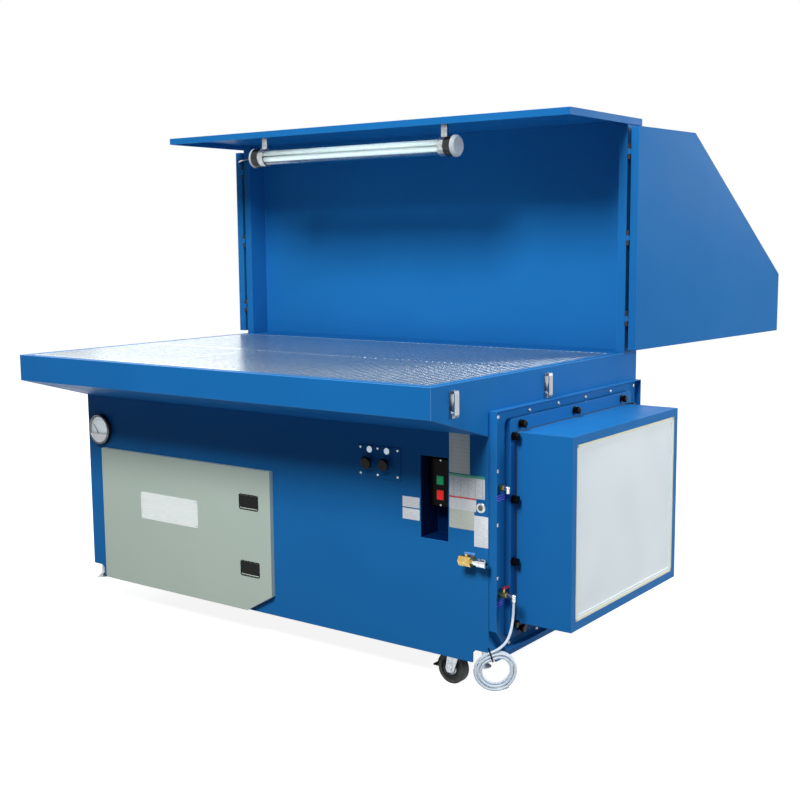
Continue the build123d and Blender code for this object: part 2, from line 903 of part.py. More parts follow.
nodes["draw_latch_bases"] = group(bases + [mirrored(piece) for piece in bases])

# Work light: tube between two stepped caps, hung from the canopy by two bands
light_y = canopy_front + light_front_inset
light_z = splash_top - light_drop
light_right = table_width - light_right_inset
tube_start = light_left + light_cap_length - light_socket
tube_end = light_right - light_cap_length + light_socket
tube = rod_x(tube_start, tube_end, light_y, light_z, light_radius)
tube -= rod_x(tube_start + light_wall, tube_end - light_wall, light_y, light_z, light_radius - light_wall)
nodes["work_light_tube"] = tube
cap_bore = light_radius + seat_gap
left_cap_profile = [
    (light_left, 0),
    (light_left, light_cap_radius - light_cap_chamfer),
    (light_left + light_cap_chamfer, light_cap_radius),
    (light_left + light_cap_length - light_socket, light_cap_radius),
    (light_left + light_cap_length, light_cap_radius - light_wall),
    (light_left + light_cap_length, cap_bore),
    (tube_start - seat_gap, cap_bore),
    (tube_start - seat_gap, 0),
]
left_cap = turned_x(left_cap_profile, light_y, light_z)
right_cap = mirror(left_cap, about=Plane.YZ.offset((light_left + light_right) / 2))
light_parts = [left_cap, right_cap]
band_out = light_radius + seat_gap + light_band_sheet
for centre in (light_left + light_hanger_inset, light_right - light_hanger_inset):
    x0 = centre - light_band_width / 2
    x1 = centre + light_band_width / 2
    band = rod_x(x0, x1, light_y, light_z, band_out)
    band += box(
        x0, x1, light_y - light_band_sheet, light_y + light_band_sheet, light_z + light_radius, splash_top
    )
    foot_half = light_radius
    band += box(x0, x1, light_y - foot_half, light_y + foot_half, splash_top - light_band_sheet, splash_top)
    band -= rod_x(x0 - cut_over, x1 + cut_over, light_y, light_z, light_radius + seat_gap)
    light_parts.append(band)

# Short lead from the left cap to the inside of the left post
lead_from = (light_left, light_y, light_z)
lead_to = (post_width, splash_front + light_lead_inset, splash_top - light_lead_drop)
lead_shares = [
    (0, 0, 0),
    (0.1443, 0.0097, -0.0377),
    (0.3093, 0.0922, -0.1132),
    (0.4485, 0.2476, -0.0943),
    (0.5825, 0.4369, 0.0566),
    (0.7139, 0.6359, 0.3396),
    (0.8247, 0.8204, 0.6792),
    (0.8711, 0.9223, 0.8868),
    (0.9330, 1.0000, 1.0000),
    (1, 1, 1),
]
lead_points = [tuple(a + (b - a) * s for a, b, s in zip(lead_from, lead_to, row)) for row in lead_shares]


def bend_radii(points, share):
    radii = []
    for before, here, after in zip(points, points[1:], points[2:]):
        a = Vector(*here) - Vector(*before)
        b = Vector(*after) - Vector(*here)
        half_turn = math.radians(a.get_angle(b)) / 2
        radii.append(share * min(a.length, b.length) / math.tan(half_turn))
    return radii


def swept_tube(path, radius, start, direction):
    return sweep(Plane(origin=start, z_dir=direction) * Circle(radius), path=path)


lead_share = 0.45
lead_path = FilletPolyline(*lead_points, radius=bend_radii(lead_points, lead_share))
lead_way = Vector(*lead_points[1]) - Vector(*lead_points[0])
lead = swept_tube(lead_path, light_lead_radius, lead_points[0], lead_way)
light_parts.append(lead)
nodes["work_light_mounts"] = group(light_parts)

# Gauge: turned case with a recessed dial, a lower cover and the needle's pin
case_front = panel_front - gauge_proud
dial_y = case_front + gauge_recess
case_profile = [
    (0, dial_y),
    (gauge_radius - gauge_bezel, dial_y),
    (gauge_radius - gauge_bezel, case_front),
    (gauge_radius - gauge_bezel / 2, case_front),
    (gauge_radius, case_front + gauge_bezel),
    (gauge_radius, panel_front),
    (gauge_body_radius, panel_front),
    (gauge_body_radius, panel_front + gauge_body_depth),
    (0, panel_front + gauge_body_depth),
]
case = turned_y(case_profile, gauge_x, gauge_z)
cover_top = gauge_z - gauge_cover_drop
cover = rod_y(case_front, dial_y - gauge_bezel, gauge_x, gauge_z, gauge_radius - gauge_bezel / 2)
cover -= box(
    gauge_x - gauge_radius,
    gauge_x + gauge_radius,
    case_front - cut_over,
    dial_y + cut_over,
    cover_top,
    gauge_z + gauge_radius,
)
case += cover
pivot_z = gauge_z - gauge_pivot_drop
case += rod_y(case_front, dial_y, gauge_x, pivot_z, needle_pin_radius)
nodes["gauge_case"] = case
needle_back = dial_y - needle_thickness
needle_front = needle_back - needle_thickness
needle = rod_y(needle_front, needle_back, gauge_x, pivot_z, needle_hub_radius)
needle_outline = [
    (gauge_x - needle_tail_width / 2, pivot_z),
    (gauge_x + needle_tail_width / 2, pivot_z),
    (gauge_x + needle_tip_width / 2, pivot_z + needle_length),
    (gauge_x - needle_tip_width / 2, pivot_z + needle_length),
]
needle += prism_y(needle_outline, needle_front, needle_back)
needle_bore = needle_pin_radius + running_gap
needle -= rod_y(needle_front - cut_over, needle_back + cut_over, gauge_x, pivot_z, needle_bore)
needle = needle.rotate(Axis((gauge_x, 0, pivot_z), (0, 1, 0)), -needle_rest_tilt)
nodes["gauge_needle"] = needle
joints["gauge_needle_hinge"] = (gauge_x, needle_back, pivot_z)

# Control plate with button collars, contact blocks and two lamps
plate_y = panel_front - sheet
control = box(control_left, control_right, plate_y, panel_front, control_bottom, control_top)
lamp_z = control_bottom + lamp_rise
stem_bore = mushroom_stem_radius + running_gap
for index, button_x in enumerate(button_xs):
    control += rod_y(plate_y - collar_height, plate_y, button_x, button_z, collar_radius)
    control += rod_y(plate_y, panel_back, button_x, button_z, mushroom_stem_radius + sheet - seat_gap)
    block = box(
        button_x - contact_block_half,
        button_x + contact_block_half,
        panel_back,
        panel_back + contact_block_depth,
        button_z - contact_block_half,
        button_z + contact_block_half,
    )
    control += block
    stem_end = panel_back + stem_tail
    room = mushroom_proud
    control -= rod_y(plate_y - collar_height - cut_over, stem_end + room, button_x, button_z, stem_bore)
    lamp_x = button_x + mushroom_edge
    lamp_profile = [
        (0, plate_y - lamp_height),
        (lamp_radius - lamp_height / 2, plate_y - lamp_height),
        (lamp_radius, plate_y - lamp_height / 2),
        (lamp_radius, plate_y),
        (0, plate_y),
    ]
    control += turned_y(lamp_profile, lamp_x, lamp_z)
    cap_front = plate_y - mushroom_proud
    button_profile = [
        (0, cap_front),
        (mushroom_radius - mushroom_edge, cap_front),
        (mushroom_radius, cap_front + mushroom_edge),
        (mushroom_radius, cap_front + mushroom_height - mushroom_edge / 2),
        (mushroom_stem_radius, cap_front + mushroom_height),
        (mushroom_stem_radius, stem_end),
        (0, stem_end),
    ]
    side = ("left", "right")[index]
    nodes["pulse_button_" + side] = turned_y(button_profile, button_x, button_z)
    joints["pulse_button_" + side + "_slide"] = (button_x, cap_front, button_z)
nodes["control_plate"] = control

# Recessed pan with the motor starter, which has two wells for its buttons
pan_outer = box(
    recess_left - thin_sheet,
    recess_right + thin_sheet,
    panel_back,
    panel_front + recess_depth + thin_sheet,
    recess_bottom - thin_sheet,
    recess_top + thin_sheet,
)
pan_outer -= box(
    recess_left, recess_right, panel_back - cut_over, panel_front + recess_depth, recess_bottom, recess_top
)
starter_left = recess_left + starter_margin
starter_right = recess_right - starter_margin
starter_top = recess_top - starter_margin
starter_bottom = starter_top - starter_height
starter_front = panel_front + starter_setback
starter = box(
    starter_left, starter_right, starter_front, panel_front + recess_depth, starter_bottom, starter_top
)
starter = chamfer(starter.faces().sort_by(Axis.Y)[0].edges(), starter_bezel)
starter_x = (recess_left + recess_right) / 2
well_half = starter_button_width / 2 + seat_gap
starter_buttons = (
    ("start_button", start_button_rise, start_button_height),
    ("stop_button", stop_button_rise, stop_button_height),
)
for name, rise, height in starter_buttons:
    middle = starter_bottom + rise
    well_back = starter_front + starter_button_sunk + starter_press + thin_sheet
    starter -= box(
        starter_x - well_half,
        starter_x + well_half,
        starter_front - cut_over,
        well_back,
        middle - height / 2 - seat_gap,
        middle + height / 2 + seat_gap,
    )
    button = box(
        starter_x - starter_button_width / 2,
        starter_x + starter_button_width / 2,
        starter_front - starter_button_proud,
        starter_front + starter_button_sunk,
        middle - height / 2,
        middle + height / 2,
    )
    button = chamfer(button.faces().sort_by(Axis.Y)[0].edges(), starter_button_proud / 3)
    nodes[name] = button
    joints[name + "_slide"] = (starter_x, starter_front, middle)
nodes["starter_box"] = group([pan_outer, starter])

# Side cover: pan that opens outward, with the outlet cut through its base
cover_base_in = table_width
cover_base_out = table_width + sheet
cover_rim = table_width + cover_flange
cover_top_z = rim_height - cover_top_drop
cover_low_z = skirt_gap + cover_bottom_rise
cover_outline = [
    (cover_front, cover_top_z),
    (cover_front, cover_low_z + cover_chamfer_height),
    (cover_front + cover_chamfer_depth, cover_low_z),
    (cover_rear, cover_low_z),
    (cover_rear, cover_top_z),
]
side = prism_x(cover_outline, cover_base_in, cover_rim)
side_hollow = Plane.YZ.offset(cover_base_out) * inner(cover_outline, thin_sheet)
side -= extrude(side_hollow, cover_flange)
side -= box(
    cover_base_in - cut_over, cover_base_out + cut_over, outlet_front, outlet_rear, outlet_bottom, outlet_top
)
nodes["side_cover"] = side

# Dome bolts along the side cover's edges
bolt_profile = [
    (cover_base_out, 0),
    (cover_base_out, bolt_radius),
    (cover_base_out + bolt_height / 2, bolt_radius),
    (cover_base_out + bolt_height, bolt_tip_radius),
    (cover_base_out + bolt_height, 0),
]
bolt_first_y = cover_front + bolt_margin
bolt_last_y = cover_rear - bolt_bottom_margin * 1.5
bolt_pitch = (bolt_last_y - bolt_first_y) / (bolt_pitch_rows - 1)
bolt_top_z = cover_top_z - bolt_top_drop
bolt_low_z = cover_low_z + bolt_bottom_margin
bolt_places = [(bolt_first_y + bolt_pitch * step, bolt_top_z) for step in range(bolt_pitch_rows)]
for step in range(1, bolt_column_count + 1):
    bolt_places.append((bolt_first_y, bolt_top_z - bolt_column_pitch * step))
    bolt_places.append((bolt_last_y, bolt_top_z - bolt_column_pitch * step))
bottom_first_y = cover_front + cover_chamfer_depth + bolt_margin
bottom_pitch = (bolt_last_y - bottom_first_y) / (bolt_pitch_rows - 1)
for step in range(bolt_pitch_rows):
    bolt_places.append((bottom_first_y + bottom_pitch * step, bolt_low_z))
nodes["cover_bolts"] = group([turned_x(bolt_profile, y, z) for y, z in bolt_places])

# Raised plate that carries the after-filter
plate_face = cover_base_out + plate_rise
plate_top = rim_height - plate_top_drop
plate_bottom = skirt_gap + plate_bottom_rise
plate_height = plate_top - plate_bottom
plate_middle_y = (plate_front + plate_rear) / 2
plate_middle_z = (plate_top + plate_bottom) / 2
plate_size = RectangleRounded(plate_rear - plate_front, plate_height, plate_corner)
raised = extrude(Plane.YZ.offset(cover_base_out) * (Pos(plate_middle_y, plate_middle_z) * plate_size), plate_rise)
plate_inside = RectangleRounded(
    plate_rear - plate_front - thin_sheet * 2, plate_height - thin_sheet * 2, plate_corner - thin_sheet
)
plate_hollow = Plane.YZ.offset(cover_base_out - cut_over) * (Pos(plate_middle_y, plate_middle_z) * plate_inside)
raised -= extrude(plate_hollow, plate_rise - sheet + cut_over)
raised -= box(cover_base_out, plate_face + cut_over, outlet_front, outlet_rear, outlet_bottom, outlet_top)
nodes["filter_mount_plate"] = raised

# Hand knobs round the after-filter
knob_profile = [
    (plate_face, 0),
    (plate_face, knob_ring_radius),
    (plate_face + knob_ring, knob_ring_radius),
    (plate_face + knob_ring, knob_waist_radius),
    (plate_face + knob_ring * 2, knob_waist_radius),
    (plate_face + knob_ring * 3, knob_radius),
    (plate_face + knob_height - knob_ring / 2, knob_radius),
    (plate_face + knob_height, knob_waist_radius),
    (plate_face + knob_height, 0),
]
knob_row_pitch = (plate_rear - plate_front - knob_row_start - knob_row_end) / (knob_rows - 1)
knob_column_pitch = (plate_height - knob_column_start - knob_column_end) / (knob_columns - 1)
knob_places = []
for row in range(knob_rows):
    knob_y = plate_front + knob_row_start + knob_row_pitch * row
    knob_places.append((knob_y, plate_top - knob_top_drop))
    knob_places.append((knob_y, plate_bottom + knob_top_drop))
for column in range(knob_columns):
    knob_z = plate_top - knob_column_start - knob_column_pitch * column
    knob_places.append((plate_front + knob_margin, knob_z))
    knob_places.append((plate_rear - knob_margin, knob_z))
nodes["clamp_knobs"] = group([turned_x(knob_profile, y, z) for y, z in knob_places])

# After-filter casing: open-backed box with a turned-in border
casing_face = plate_face + casing_length
casing = box(plate_face, casing_face, casing_front, casing_rear, casing_bottom, casing_top)
casing -= box(
    plate_face - cut_over,
    casing_face - thin_sheet,
    casing_front + thin_sheet,
    casing_rear - thin_sheet,
    casing_bottom + thin_sheet,
    casing_top - thin_sheet,
)
casing -= box(
    casing_face - thin_sheet - cut_over,
    casing_face + cut_over,
    casing_front + casing_border,
    casing_rear - casing_border,
    casing_bottom + casing_border,
    casing_top - casing_border,
)
nodes["after_filter_casing"] = casing

# Filter cell: frame round a pack of vertical pleats, with a smooth pad before them
cell_wall = thin_sheet + cell_clear
cell_front = casing_front + cell_wall
cell_rear = casing_rear - cell_wall
cell_bottom = casing_bottom + thin_sheet
cell_top = casing_top - cell_wall
cell_face = casing_face - thin_sheet
cell_back = cell_face - cell_depth
media_front = cell_front + casing_border + cell_frame
media_rear = cell_rear - casing_border - cell_frame
media_bottom = cell_bottom + casing_border + cell_frame
media_top = cell_top - casing_border - cell_frame
cell = box(cell_back, cell_face, cell_front, cell_rear, cell_bottom, cell_top)
cell -= box(
    cell_face - pleat_depth * 2, cell_face + cut_over, media_front, media_rear, media_bottom, media_top
)
pleat_pitch = (media_rear - media_front) / pleat_count
pleat_valley = cell_face - pleat_depth * 2
pleat_crest = cell_face - pleat_depth
pleats = [(pleat_valley, media_front)]
for step in range(pleat_count):
    pleats.append((pleat_crest, media_front + pleat_pitch * (step + 1 / 2)))
    pleats.append((pleat_valley, media_front + pleat_pitch * (step + 1)))
pleats.append((pleat_valley - thin_sheet, media_rear))
pleats.append((pleat_valley - thin_sheet, media_front))
cell += prism_z(pleats, media_bottom, media_top)
cell -= box(
    cell_back - cut_over, pleat_valley - thin_sheet, media_front, media_rear, media_bottom, media_top
)
pad_face = cell_face - pad_recess
pad = box(
    pad_face - pad_thickness,
    pad_face,
    media_front + seat_gap,
    media_rear - seat_gap,
    media_bottom + seat_gap,
    media_top - seat_gap,
)
nodes["hepa_cell"] = group([cell, pad])

# Air inlet: pipe out of the panel, hexagonal valve body, coupler pointing right
inlet_x = table_width - inlet_inset
inlet_y = panel_front - inlet_proud
body_left = inlet_x - inlet_body_length / 2
body_right = inlet_x + inlet_body_length / 2
hexagon = Pos(inlet_y, inlet_height) * RegularPolygon(inlet_body_radius, 6)
inlet_body = extrude(Plane.YZ.offset(body_left) * hexagon, inlet_body_length)
inlet_body += rod_y(inlet_y, panel_front, inlet_x, inlet_height, inlet_pipe_radius)
inlet_body += rod_y(
    panel_front - inlet_pipe_radius / 2, panel_front, inlet_x, inlet_height, inlet_body_radius
)
coupler_end = body_right + coupler_length
coupler_profile = [
    (body_right, 0),
    (body_right, coupler_neck_radius),
    (body_right + coupler_collar_length, coupler_neck_radius),
    (body_right + coupler_collar_length, coupler_core_radius),
    (coupler_end, coupler_core_radius),
    (coupler_end, coupler_bore_radius),
    (coupler_end - coupler_bore_depth, coupler_bore_radius),
    (coupler_end - coupler_bore_depth, 0),
]
inlet_body += turned_x(coupler_profile, inlet_y, inlet_height)
stem_low = inlet_height + inlet_body_radius * math.sin(math.radians(60))
stem_high = stem_low + handle_stem_height
inlet_body += rod_z(inlet_height, stem_high, inlet_x, inlet_y, handle_stem_radius)
inlet_body += rod_z(stem_high, stem_high + handle_pin_length, inlet_x, inlet_y, handle_pin_radius)
joints["coupler_bore"] = (coupler_end, inlet_y, inlet_height)


def lever_plate(x, y, z, length, way):
    """A bar on a stem with its end bent down, pointing along the given way."""
    pivot_end = handle_width / 2
    plan = Pos(length / 2 - pivot_end, 0) * RectangleRounded(length, handle_width, pivot_end - thin_sheet)
    bar = extrude(plan, handle_thickness)
    tip = Pos(length - pivot_end - handle_thickness, 0, -handle_thickness)
    bar += tip * Box(
        handle_thickness, handle_width - thin_sheet * 2, handle_thickness, align=(Align.CENTER, Align.CENTER, Align.MIN)
    )
    bar -= Cylinder(handle_pin_radius + running_gap, handle_thickness * 4)
    return Pos(x, y, z) * Rot(0, 0, way) * bar


handle_low = stem_high + seat_gap
nodes["air_inlet_handle"] = lever_plate(inlet_x, inlet_y, handle_low, handle_length, 0)
joints["air_inlet_handle_hinge"] = (inlet_x, inlet_y, handle_low)
sleeve_end = coupler_end - sleeve_groove
sleeve_start = sleeve_end - sleeve_length
sleeve_bore = coupler_core_radius + running_gap
sleeve_profile = [
    (sleeve_start, sleeve_bore),
    (sleeve_start, sleeve_radius - sleeve_groove),
    (sleeve_start + sleeve_groove, sleeve_radius),
    (sleeve_start + sleeve_length / 3, sleeve_radius),
    (sleeve_start + sleeve_length / 3, sleeve_radius - sleeve_groove),
    (sleeve_start + sleeve_length / 2, sleeve_radius - sleeve_groove),
    (sleeve_start + sleeve_length / 2, sleeve_radius),
    (sleeve_end - sleeve_groove, sleeve_radius),
    (sleeve_end, sleeve_radius - sleeve_groove),
    (sleeve_end, sleeve_bore),
]
nodes["coupler_sleeve"] = turned_x(sleeve_profile, inlet_y, inlet_height)
joints["coupler_sleeve_slide"] = (sleeve_start, inlet_y, inlet_height)

# Drain valve and upper outlet on the right side, both ending in elbows
side_valve_y = panel_front + side_valve_inset
valve_start = cover_base_out
drain_elbow_x = valve_start + drain_elbow_reach
upper_elbow_x = valve_start + upper_elbow_reach
drain_body_start = valve_start + valve_pipe_radius / 2
drain_body_end = drain_body_start + drain_body_length
drain = rod_x(valve_start, drain_elbow_x, side_valve_y, drain_height, valve_pipe_radius)
drain_hexagon = Pos(side_valve_y, drain_height) * RegularPolygon(drain_body_radius, 6)
drain += extrude(Plane.YZ.offset(drain_body_start) * drain_hexagon, drain_body_length)
drain += rod_x(
    drain_elbow_x - elbow_drop, drain_elbow_x, side_valve_y, drain_height, elbow_radius
)
drain += Pos(drain_elbow_x, side_valve_y, drain_height) * Sphere(elbow_radius)
drain += rod_z(drain_height - elbow_drop, drain_height, drain_elbow_x, side_valve_y, elbow_radius)
barb_low = drain_height - elbow_drop - barb_length
drain += rod_z(barb_low, drain_height, drain_elbow_x, side_valve_y, hose_radius)
drain_stem_x = (drain_body_start + drain_body_end) / 2
drain_stem_low = drain_height + drain_body_radius * math.sin(math.radians(60))
drain_stem_high = drain_stem_low + handle_stem_height
drain += rod_z(drain_height, drain_stem_high, drain_stem_x, side_valve_y, handle_stem_radius)
drain += rod_z(
    drain_stem_high, drain_stem_high + handle_pin_length, drain_stem_x, side_valve_y, handle_pin_radius
)
drain_handle_low = drain_stem_high + seat_gap
nodes["drain_handle"] = lever_plate(drain_stem_x, side_valve_y, drain_handle_low, drain_handle_length, 90)
joints["drain_handle_hinge"] = (drain_stem_x, side_valve_y, drain_handle_low)
upper = rod_x(valve_start, upper_elbow_x, side_valve_y, upper_valve_height, valve_pipe_radius)
upper_hexagon = Pos(side_valve_y, upper_valve_height) * RegularPolygon(drain_body_radius, 6)
upper += extrude(Plane.YZ.offset(drain_body_start) * upper_hexagon, drain_body_length / 2)
upper += Pos(upper_elbow_x, side_valve_y, upper_valve_height) * Sphere(elbow_radius)
upper += rod_z(
    upper_valve_height - elbow_drop, upper_valve_height, upper_elbow_x, side_valve_y, elbow_radius
)
nodes["valve_bodies"] = group([inlet_body, drain, upper])

# Coil of the drain hose: flat spiral inward, a climb of one layer, spiral outward behind it
coil_turns = coil_front_turns + coil_back_turns + 1 / 2
coil_centre = Vector(coil_x, coil_y, coil_z)
turn_angle = math.radians(coil_turn)
coil_u = Vector(math.cos(turn_angle), math.sin(turn_angle), 0)
coil_v = Vector(0, 0, 1)
coil_n = coil_u.cross(coil_v)


def coil_state(turn):
    """Radius and layer offset after a number of turns, drawn in at the tie."""
    away = math.radians(coil_start_angle - coil_pinch_angle) + math.tau * turn
    drawn_in = coil_pinch * max(math.cos(away), 0) ** 4
    if turn <= coil_front_turns:
        return coil_outer - coil_pitch * turn - drawn_in, 0
    inmost = coil_outer - coil_pitch * coil_front_turns - drawn_in
    if turn >= coil_front_turns + 1 / 2:
        return inmost + coil_pitch * (turn - coil_front_turns - 1 / 2), coil_layer
    share = (turn - coil_front_turns) * 2
    return inmost, coil_layer * (1 - math.cos(math.pi * share)) / 2


def coil_point(turn):
    radius, layer = coil_state(turn)
    angle = math.radians(coil_start_angle) + math.tau * turn
    flat = coil_u * (radius * math.cos(angle)) + coil_v * (radius * math.sin(angle))
    return coil_centre + flat - coil_n * layer


def coil_way(turn):
    step = 1 / 4096
    low = max(turn - step, 0)
    high = min(turn + step, coil_turns)
    return (coil_point(high) - coil_point(low)).normalized()


def biarc(p0, t0, p1, t1):
    """Two arcs that meet smoothly and match both ends' directions."""
    chord = p1 - p0
    both = t0 + t1
    a = 2 * (1 - t0.dot(t1))
    b = 2 * chord.dot(both)
    c = -chord.dot(chord)
    if abs(a) < 1e-9:
        reach = -c / b
    else:
        reach = (-b + math.sqrt(b * b - 4 * a * c)) / (2 * a)
    q0 = p0 + t0 * reach
    q1 = p1 - t1 * reach
    middle = (q0 + q1) * (1 / 2)
    arcs = []
    for start, corner, end in ((p0, q0, middle), (middle, q1, p1)):
        spoke = (start + end) * (1 / 2) - corner
        half = (end - start).length / 2
        leg = (corner - start).length
        depth = leg * math.sqrt(max(1 - (half / leg) ** 2, 0)) * half / (half + leg)
        rise = (start + end) * (1 / 2) - spoke.normalized() * depth
        arcs.append(ThreePointArc(start, rise, end))
    return arcs


coil_steps = int(coil_turns * 4)
coil_start = coil_point(0)
coil_start_way = coil_way(0)
coil_end = coil_point(coil_turns)
coil_end_way = coil_way(coil_turns)
coil_lead_in = coil_start - coil_start_way * coil_end_length
coil_edges = [Line(coil_lead_in, coil_start)]
for step in range(coil_steps):
    low = step / 4
    high = (step + 1) / 4
    coil_edges.extend(biarc(coil_point(low), coil_way(low), coil_point(high), coil_way(high)))
coil_edges.append(Line(coil_end, coil_end + coil_end_way * coil_end_length))
coil_path = Wire(coil_edges)
coil = swept_tube(coil_path, hose_radius, coil_lead_in, coil_start_way)
nodes["drain_hose_coil"] = coil
samples = [coil_point(coil_turns * step / 720) for step in range(721)]
samples_per_turn = 720 / coil_turns
closest = min(
    (samples[i] - samples[j]).length
    for i in range(0, 721, 2)
    for j in range(i + int(samples_per_turn / 2), 721)
)
print("coil: least gap to itself", round(closest - hose_radius * 2, 3))
print("coil: volume against section times length", round(coil.volume / (math.pi * hose_radius**2 * coil_path.length), 4))

# Free stretch of the hose, from the drain elbow's barb to the coil
hose_points = [
    (drain_elbow_x, side_valve_y, barb_low),
    (1883.0, 359.0, 267.0),
    (1885.5, 349.0, 239.0),
    (1892.0, 329.0, 216.0),
    (1899.0, 302.0, 202.0),
    (1904.0, 274.0, 194.0),
    tuple(coil_lead_in - coil_start_way * hose_last_run),
    tuple(coil_lead_in),
]
hose_share = 0.45
hose_radii = bend_radii(hose_points, hose_share)
print("hose: runs", [round((Vector(*b) - Vector(*a)).length, 1) for a, b in zip(hose_points, hose_points[1:])])
print("hose: radii", [round(radius, 1) for radius in hose_radii])
hose_path = FilletPolyline(*hose_points, radius=hose_radii)
hose = swept_tube(hose_path, hose_radius, hose_points[0], (0, 0, -1))
print("hose: volume against section times length", round(hose.volume / (math.pi * hose_radius**2 * hose_path.length), 4))
nodes["drain_hose"] = hose

# Tie round all turns of the coil
tie_angle = math.radians(coil_start_angle) + math.tau * tie_turn_share
tie_out = coil_u * math.cos(tie_angle) + coil_v * math.sin(tie_angle)
tie_along = coil_v * math.cos(tie_angle) - coil_u * math.sin(tie_angle)
tied_radii = [coil_state(turn + tie_turn_share)[0] for turn in range(coil_front_turns + coil_back_turns)]
tied_radii.append(coil_state(0)[0] / math.cos(math.tau * (1 - tie_turn_share)))
bundle_in = min(tied_radii) - hose_radius
bundle_out = max(tied_radii) + hose_radius
bundle_high = coil_layer + hose_radius * 2
tie_middle = coil_centre + tie_out * ((bundle_in + bundle_out) / 2) - coil_n * (coil_layer / 2)
tie_plane = Plane(origin=tie_middle, x_dir=tie_out, z_dir=tie_along)
tie_inside_x = bundle_out - bundle_in + seat_gap * 4
tie_inside_y = bundle_high + seat_gap * 4
tie_face = Rectangle(tie_inside_x + tie_band * 2, tie_inside_y + tie_band * 2)
tie_face -= Rectangle(tie_inside_x, tie_inside_y)
tie_face += Pos(tie_inside_x / 2 + tie_band + tie_head / 2, 0) * Rectangle(tie_head, tie_head)
nodes["hose_tie"] = extrude(tie_plane * tie_face, tie_width / 2, both=True)

# Casters: plates and races under the floor pan, rigid forks at the rear
axle_z = wheel_radius
caster_right_x = table_width - caster_right_inset
caster_front_y = panel_front + caster_front_inset
race_low = floor_height - caster_plate_thickness - race_height
crown_top = race_low - race_gap
crown_low = crown_top - crown_thickness
caster_left_y = pan_front + pan_span / 3 + stiffener_width / 2 + caster_plate_width / 2 + caster_rib_gap
swivels = {
    "right": (caster_right_x + caster_trail, caster_front_y),
    "left": (caster_left_x + caster_trail, caster_left_y),
}
rear_casters = {
    "right": (caster_right_x, table_depth - caster_rear_inset),
    "left": (caster_left_x, table_depth - caster_rear_inset),
}
plates = []
plate_low = floor_height - caster_plate_thickness
wheel_profile = [
    (axle_radius + running_gap, -wheel_width / 2),
    (wheel_hub_radius, -wheel_width / 2),
    (wheel_hub_radius, -wheel_web / 2),
    (wheel_radius - wheel_tread, -wheel_web / 2),
    (wheel_radius - wheel_tread, -wheel_width / 2),
    (wheel_radius - fork_gap, -wheel_width / 2),
    (wheel_radius, -wheel_width / 2 + fork_gap),
    (wheel_radius, wheel_width / 2 - fork_gap),
    (wheel_radius - fork_gap, wheel_width / 2),
    (wheel_radius - wheel_tread, wheel_width / 2),
    (wheel_radius - wheel_tread, wheel_web / 2),
    (wheel_hub_radius, wheel_web / 2),
    (wheel_hub_radius, wheel_width / 2),
    (axle_radius + running_gap, wheel_width / 2),
]
leg_in = wheel_width / 2 + fork_gap
leg_out = leg_in + fork_leg
axle_out = leg_out + fork_leg
for side, (x, y) in swivels.items():
    mount = box(
        x - caster_plate_length / 2,
        x + caster_plate_length / 2,
        y - caster_plate_width / 2,
        y + caster_plate_width / 2,
        plate_low,
        floor_height,
    )
    mount += rod_z(race_low, plate_low, x, y, race_radius)
    mount += rod_z(crown_low, plate_low, x, y, kingpin_radius)
    plates.append(mount)
    wheel_x = x - caster_trail
    fork = rod_z(crown_low, crown_top, x, y, race_radius)
    crown_half = leg_out
    fork += box(wheel_x - fork_leg, x, y - crown_half, y + crown_half, crown_low, crown_top)
    leg_outline = [
        (wheel_x - fork_leg_width / 3, axle_z - wheel_hub_radius),
        (wheel_x + fork_leg_width / 3, axle_z - wheel_hub_radius),
        (x + fork_leg_width / 2, crown_top),
        (wheel_x - fork_leg, crown_top),
        (wheel_x - fork_leg_width / 2, axle_z),
    ]
    for leg_y in (y - leg_out, y + leg_in):
        fork += prism_y(leg_outline, leg_y, leg_y + fork_leg)
    fork += rod_y(y - axle_out, y + axle_out, wheel_x, axle_z, axle_radius)
    fork += rod_y(y - leg_out, y + leg_out, wheel_x + fork_leg, pedal_pin_height, pedal_pin_radius)
    fork -= rod_z(crown_low - cut_over, crown_top + cut_over, x, y, kingpin_radius + running_gap)
    nodes["caster_fork_" + side] = fork
    joints["caster_fork_" + side + "_swivel"] = (x, y, crown_low)
    nodes["caster_wheel_front_" + side] = turned_y(wheel_profile, wheel_x, axle_z).moved(Pos(0, y, 0))
    joints["caster_wheel_front_" + side + "_spin"] = (wheel_x, y, axle_z)
    shoe_in = wheel_radius + pedal_clear
    shoe_out = shoe_in + pedal_band
    pedal_pin_x = wheel_x + fork_leg
    ring = Circle(shoe_out) - Circle(shoe_in)
    ring &= Polygon(
        (0, 0),
        (fork_leg, shoe_out * 2),
        (-shoe_out * 2, shoe_out * 2),
        (-shoe_out * 2, 0),
        align=None,
    )
    ring_y = y - pedal_width / 2
    pedal = extrude(Plane.XZ.offset(-ring_y) * (Pos(wheel_x, axle_z) * ring), -pedal_width)
    pedal += rod_y(ring_y, ring_y + pedal_width, pedal_pin_x, pedal_pin_height, pedal_pin_radius + pedal_band)
    pedal += box(
        wheel_x - pedal_reach,
        wheel_x - shoe_in,
        y - pedal_plate / 2,
        y + pedal_plate / 2,
        axle_z - pedal_band,
        axle_z + pedal_band / 2,
    )
    pedal -= rod_y(y - pedal_width, y + pedal_width, pedal_pin_x, pedal_pin_height, pedal_pin_radius + running_gap)
    pedal -= rod_y(y - pedal_width, y + pedal_width, wheel_x, axle_z, shoe_in - seat_gap)
    nodes["caster_pedal_" + side] = pedal
    joints["caster_pedal_" + side + "_hinge"] = (pedal_pin_x, y, pedal_pin_height)
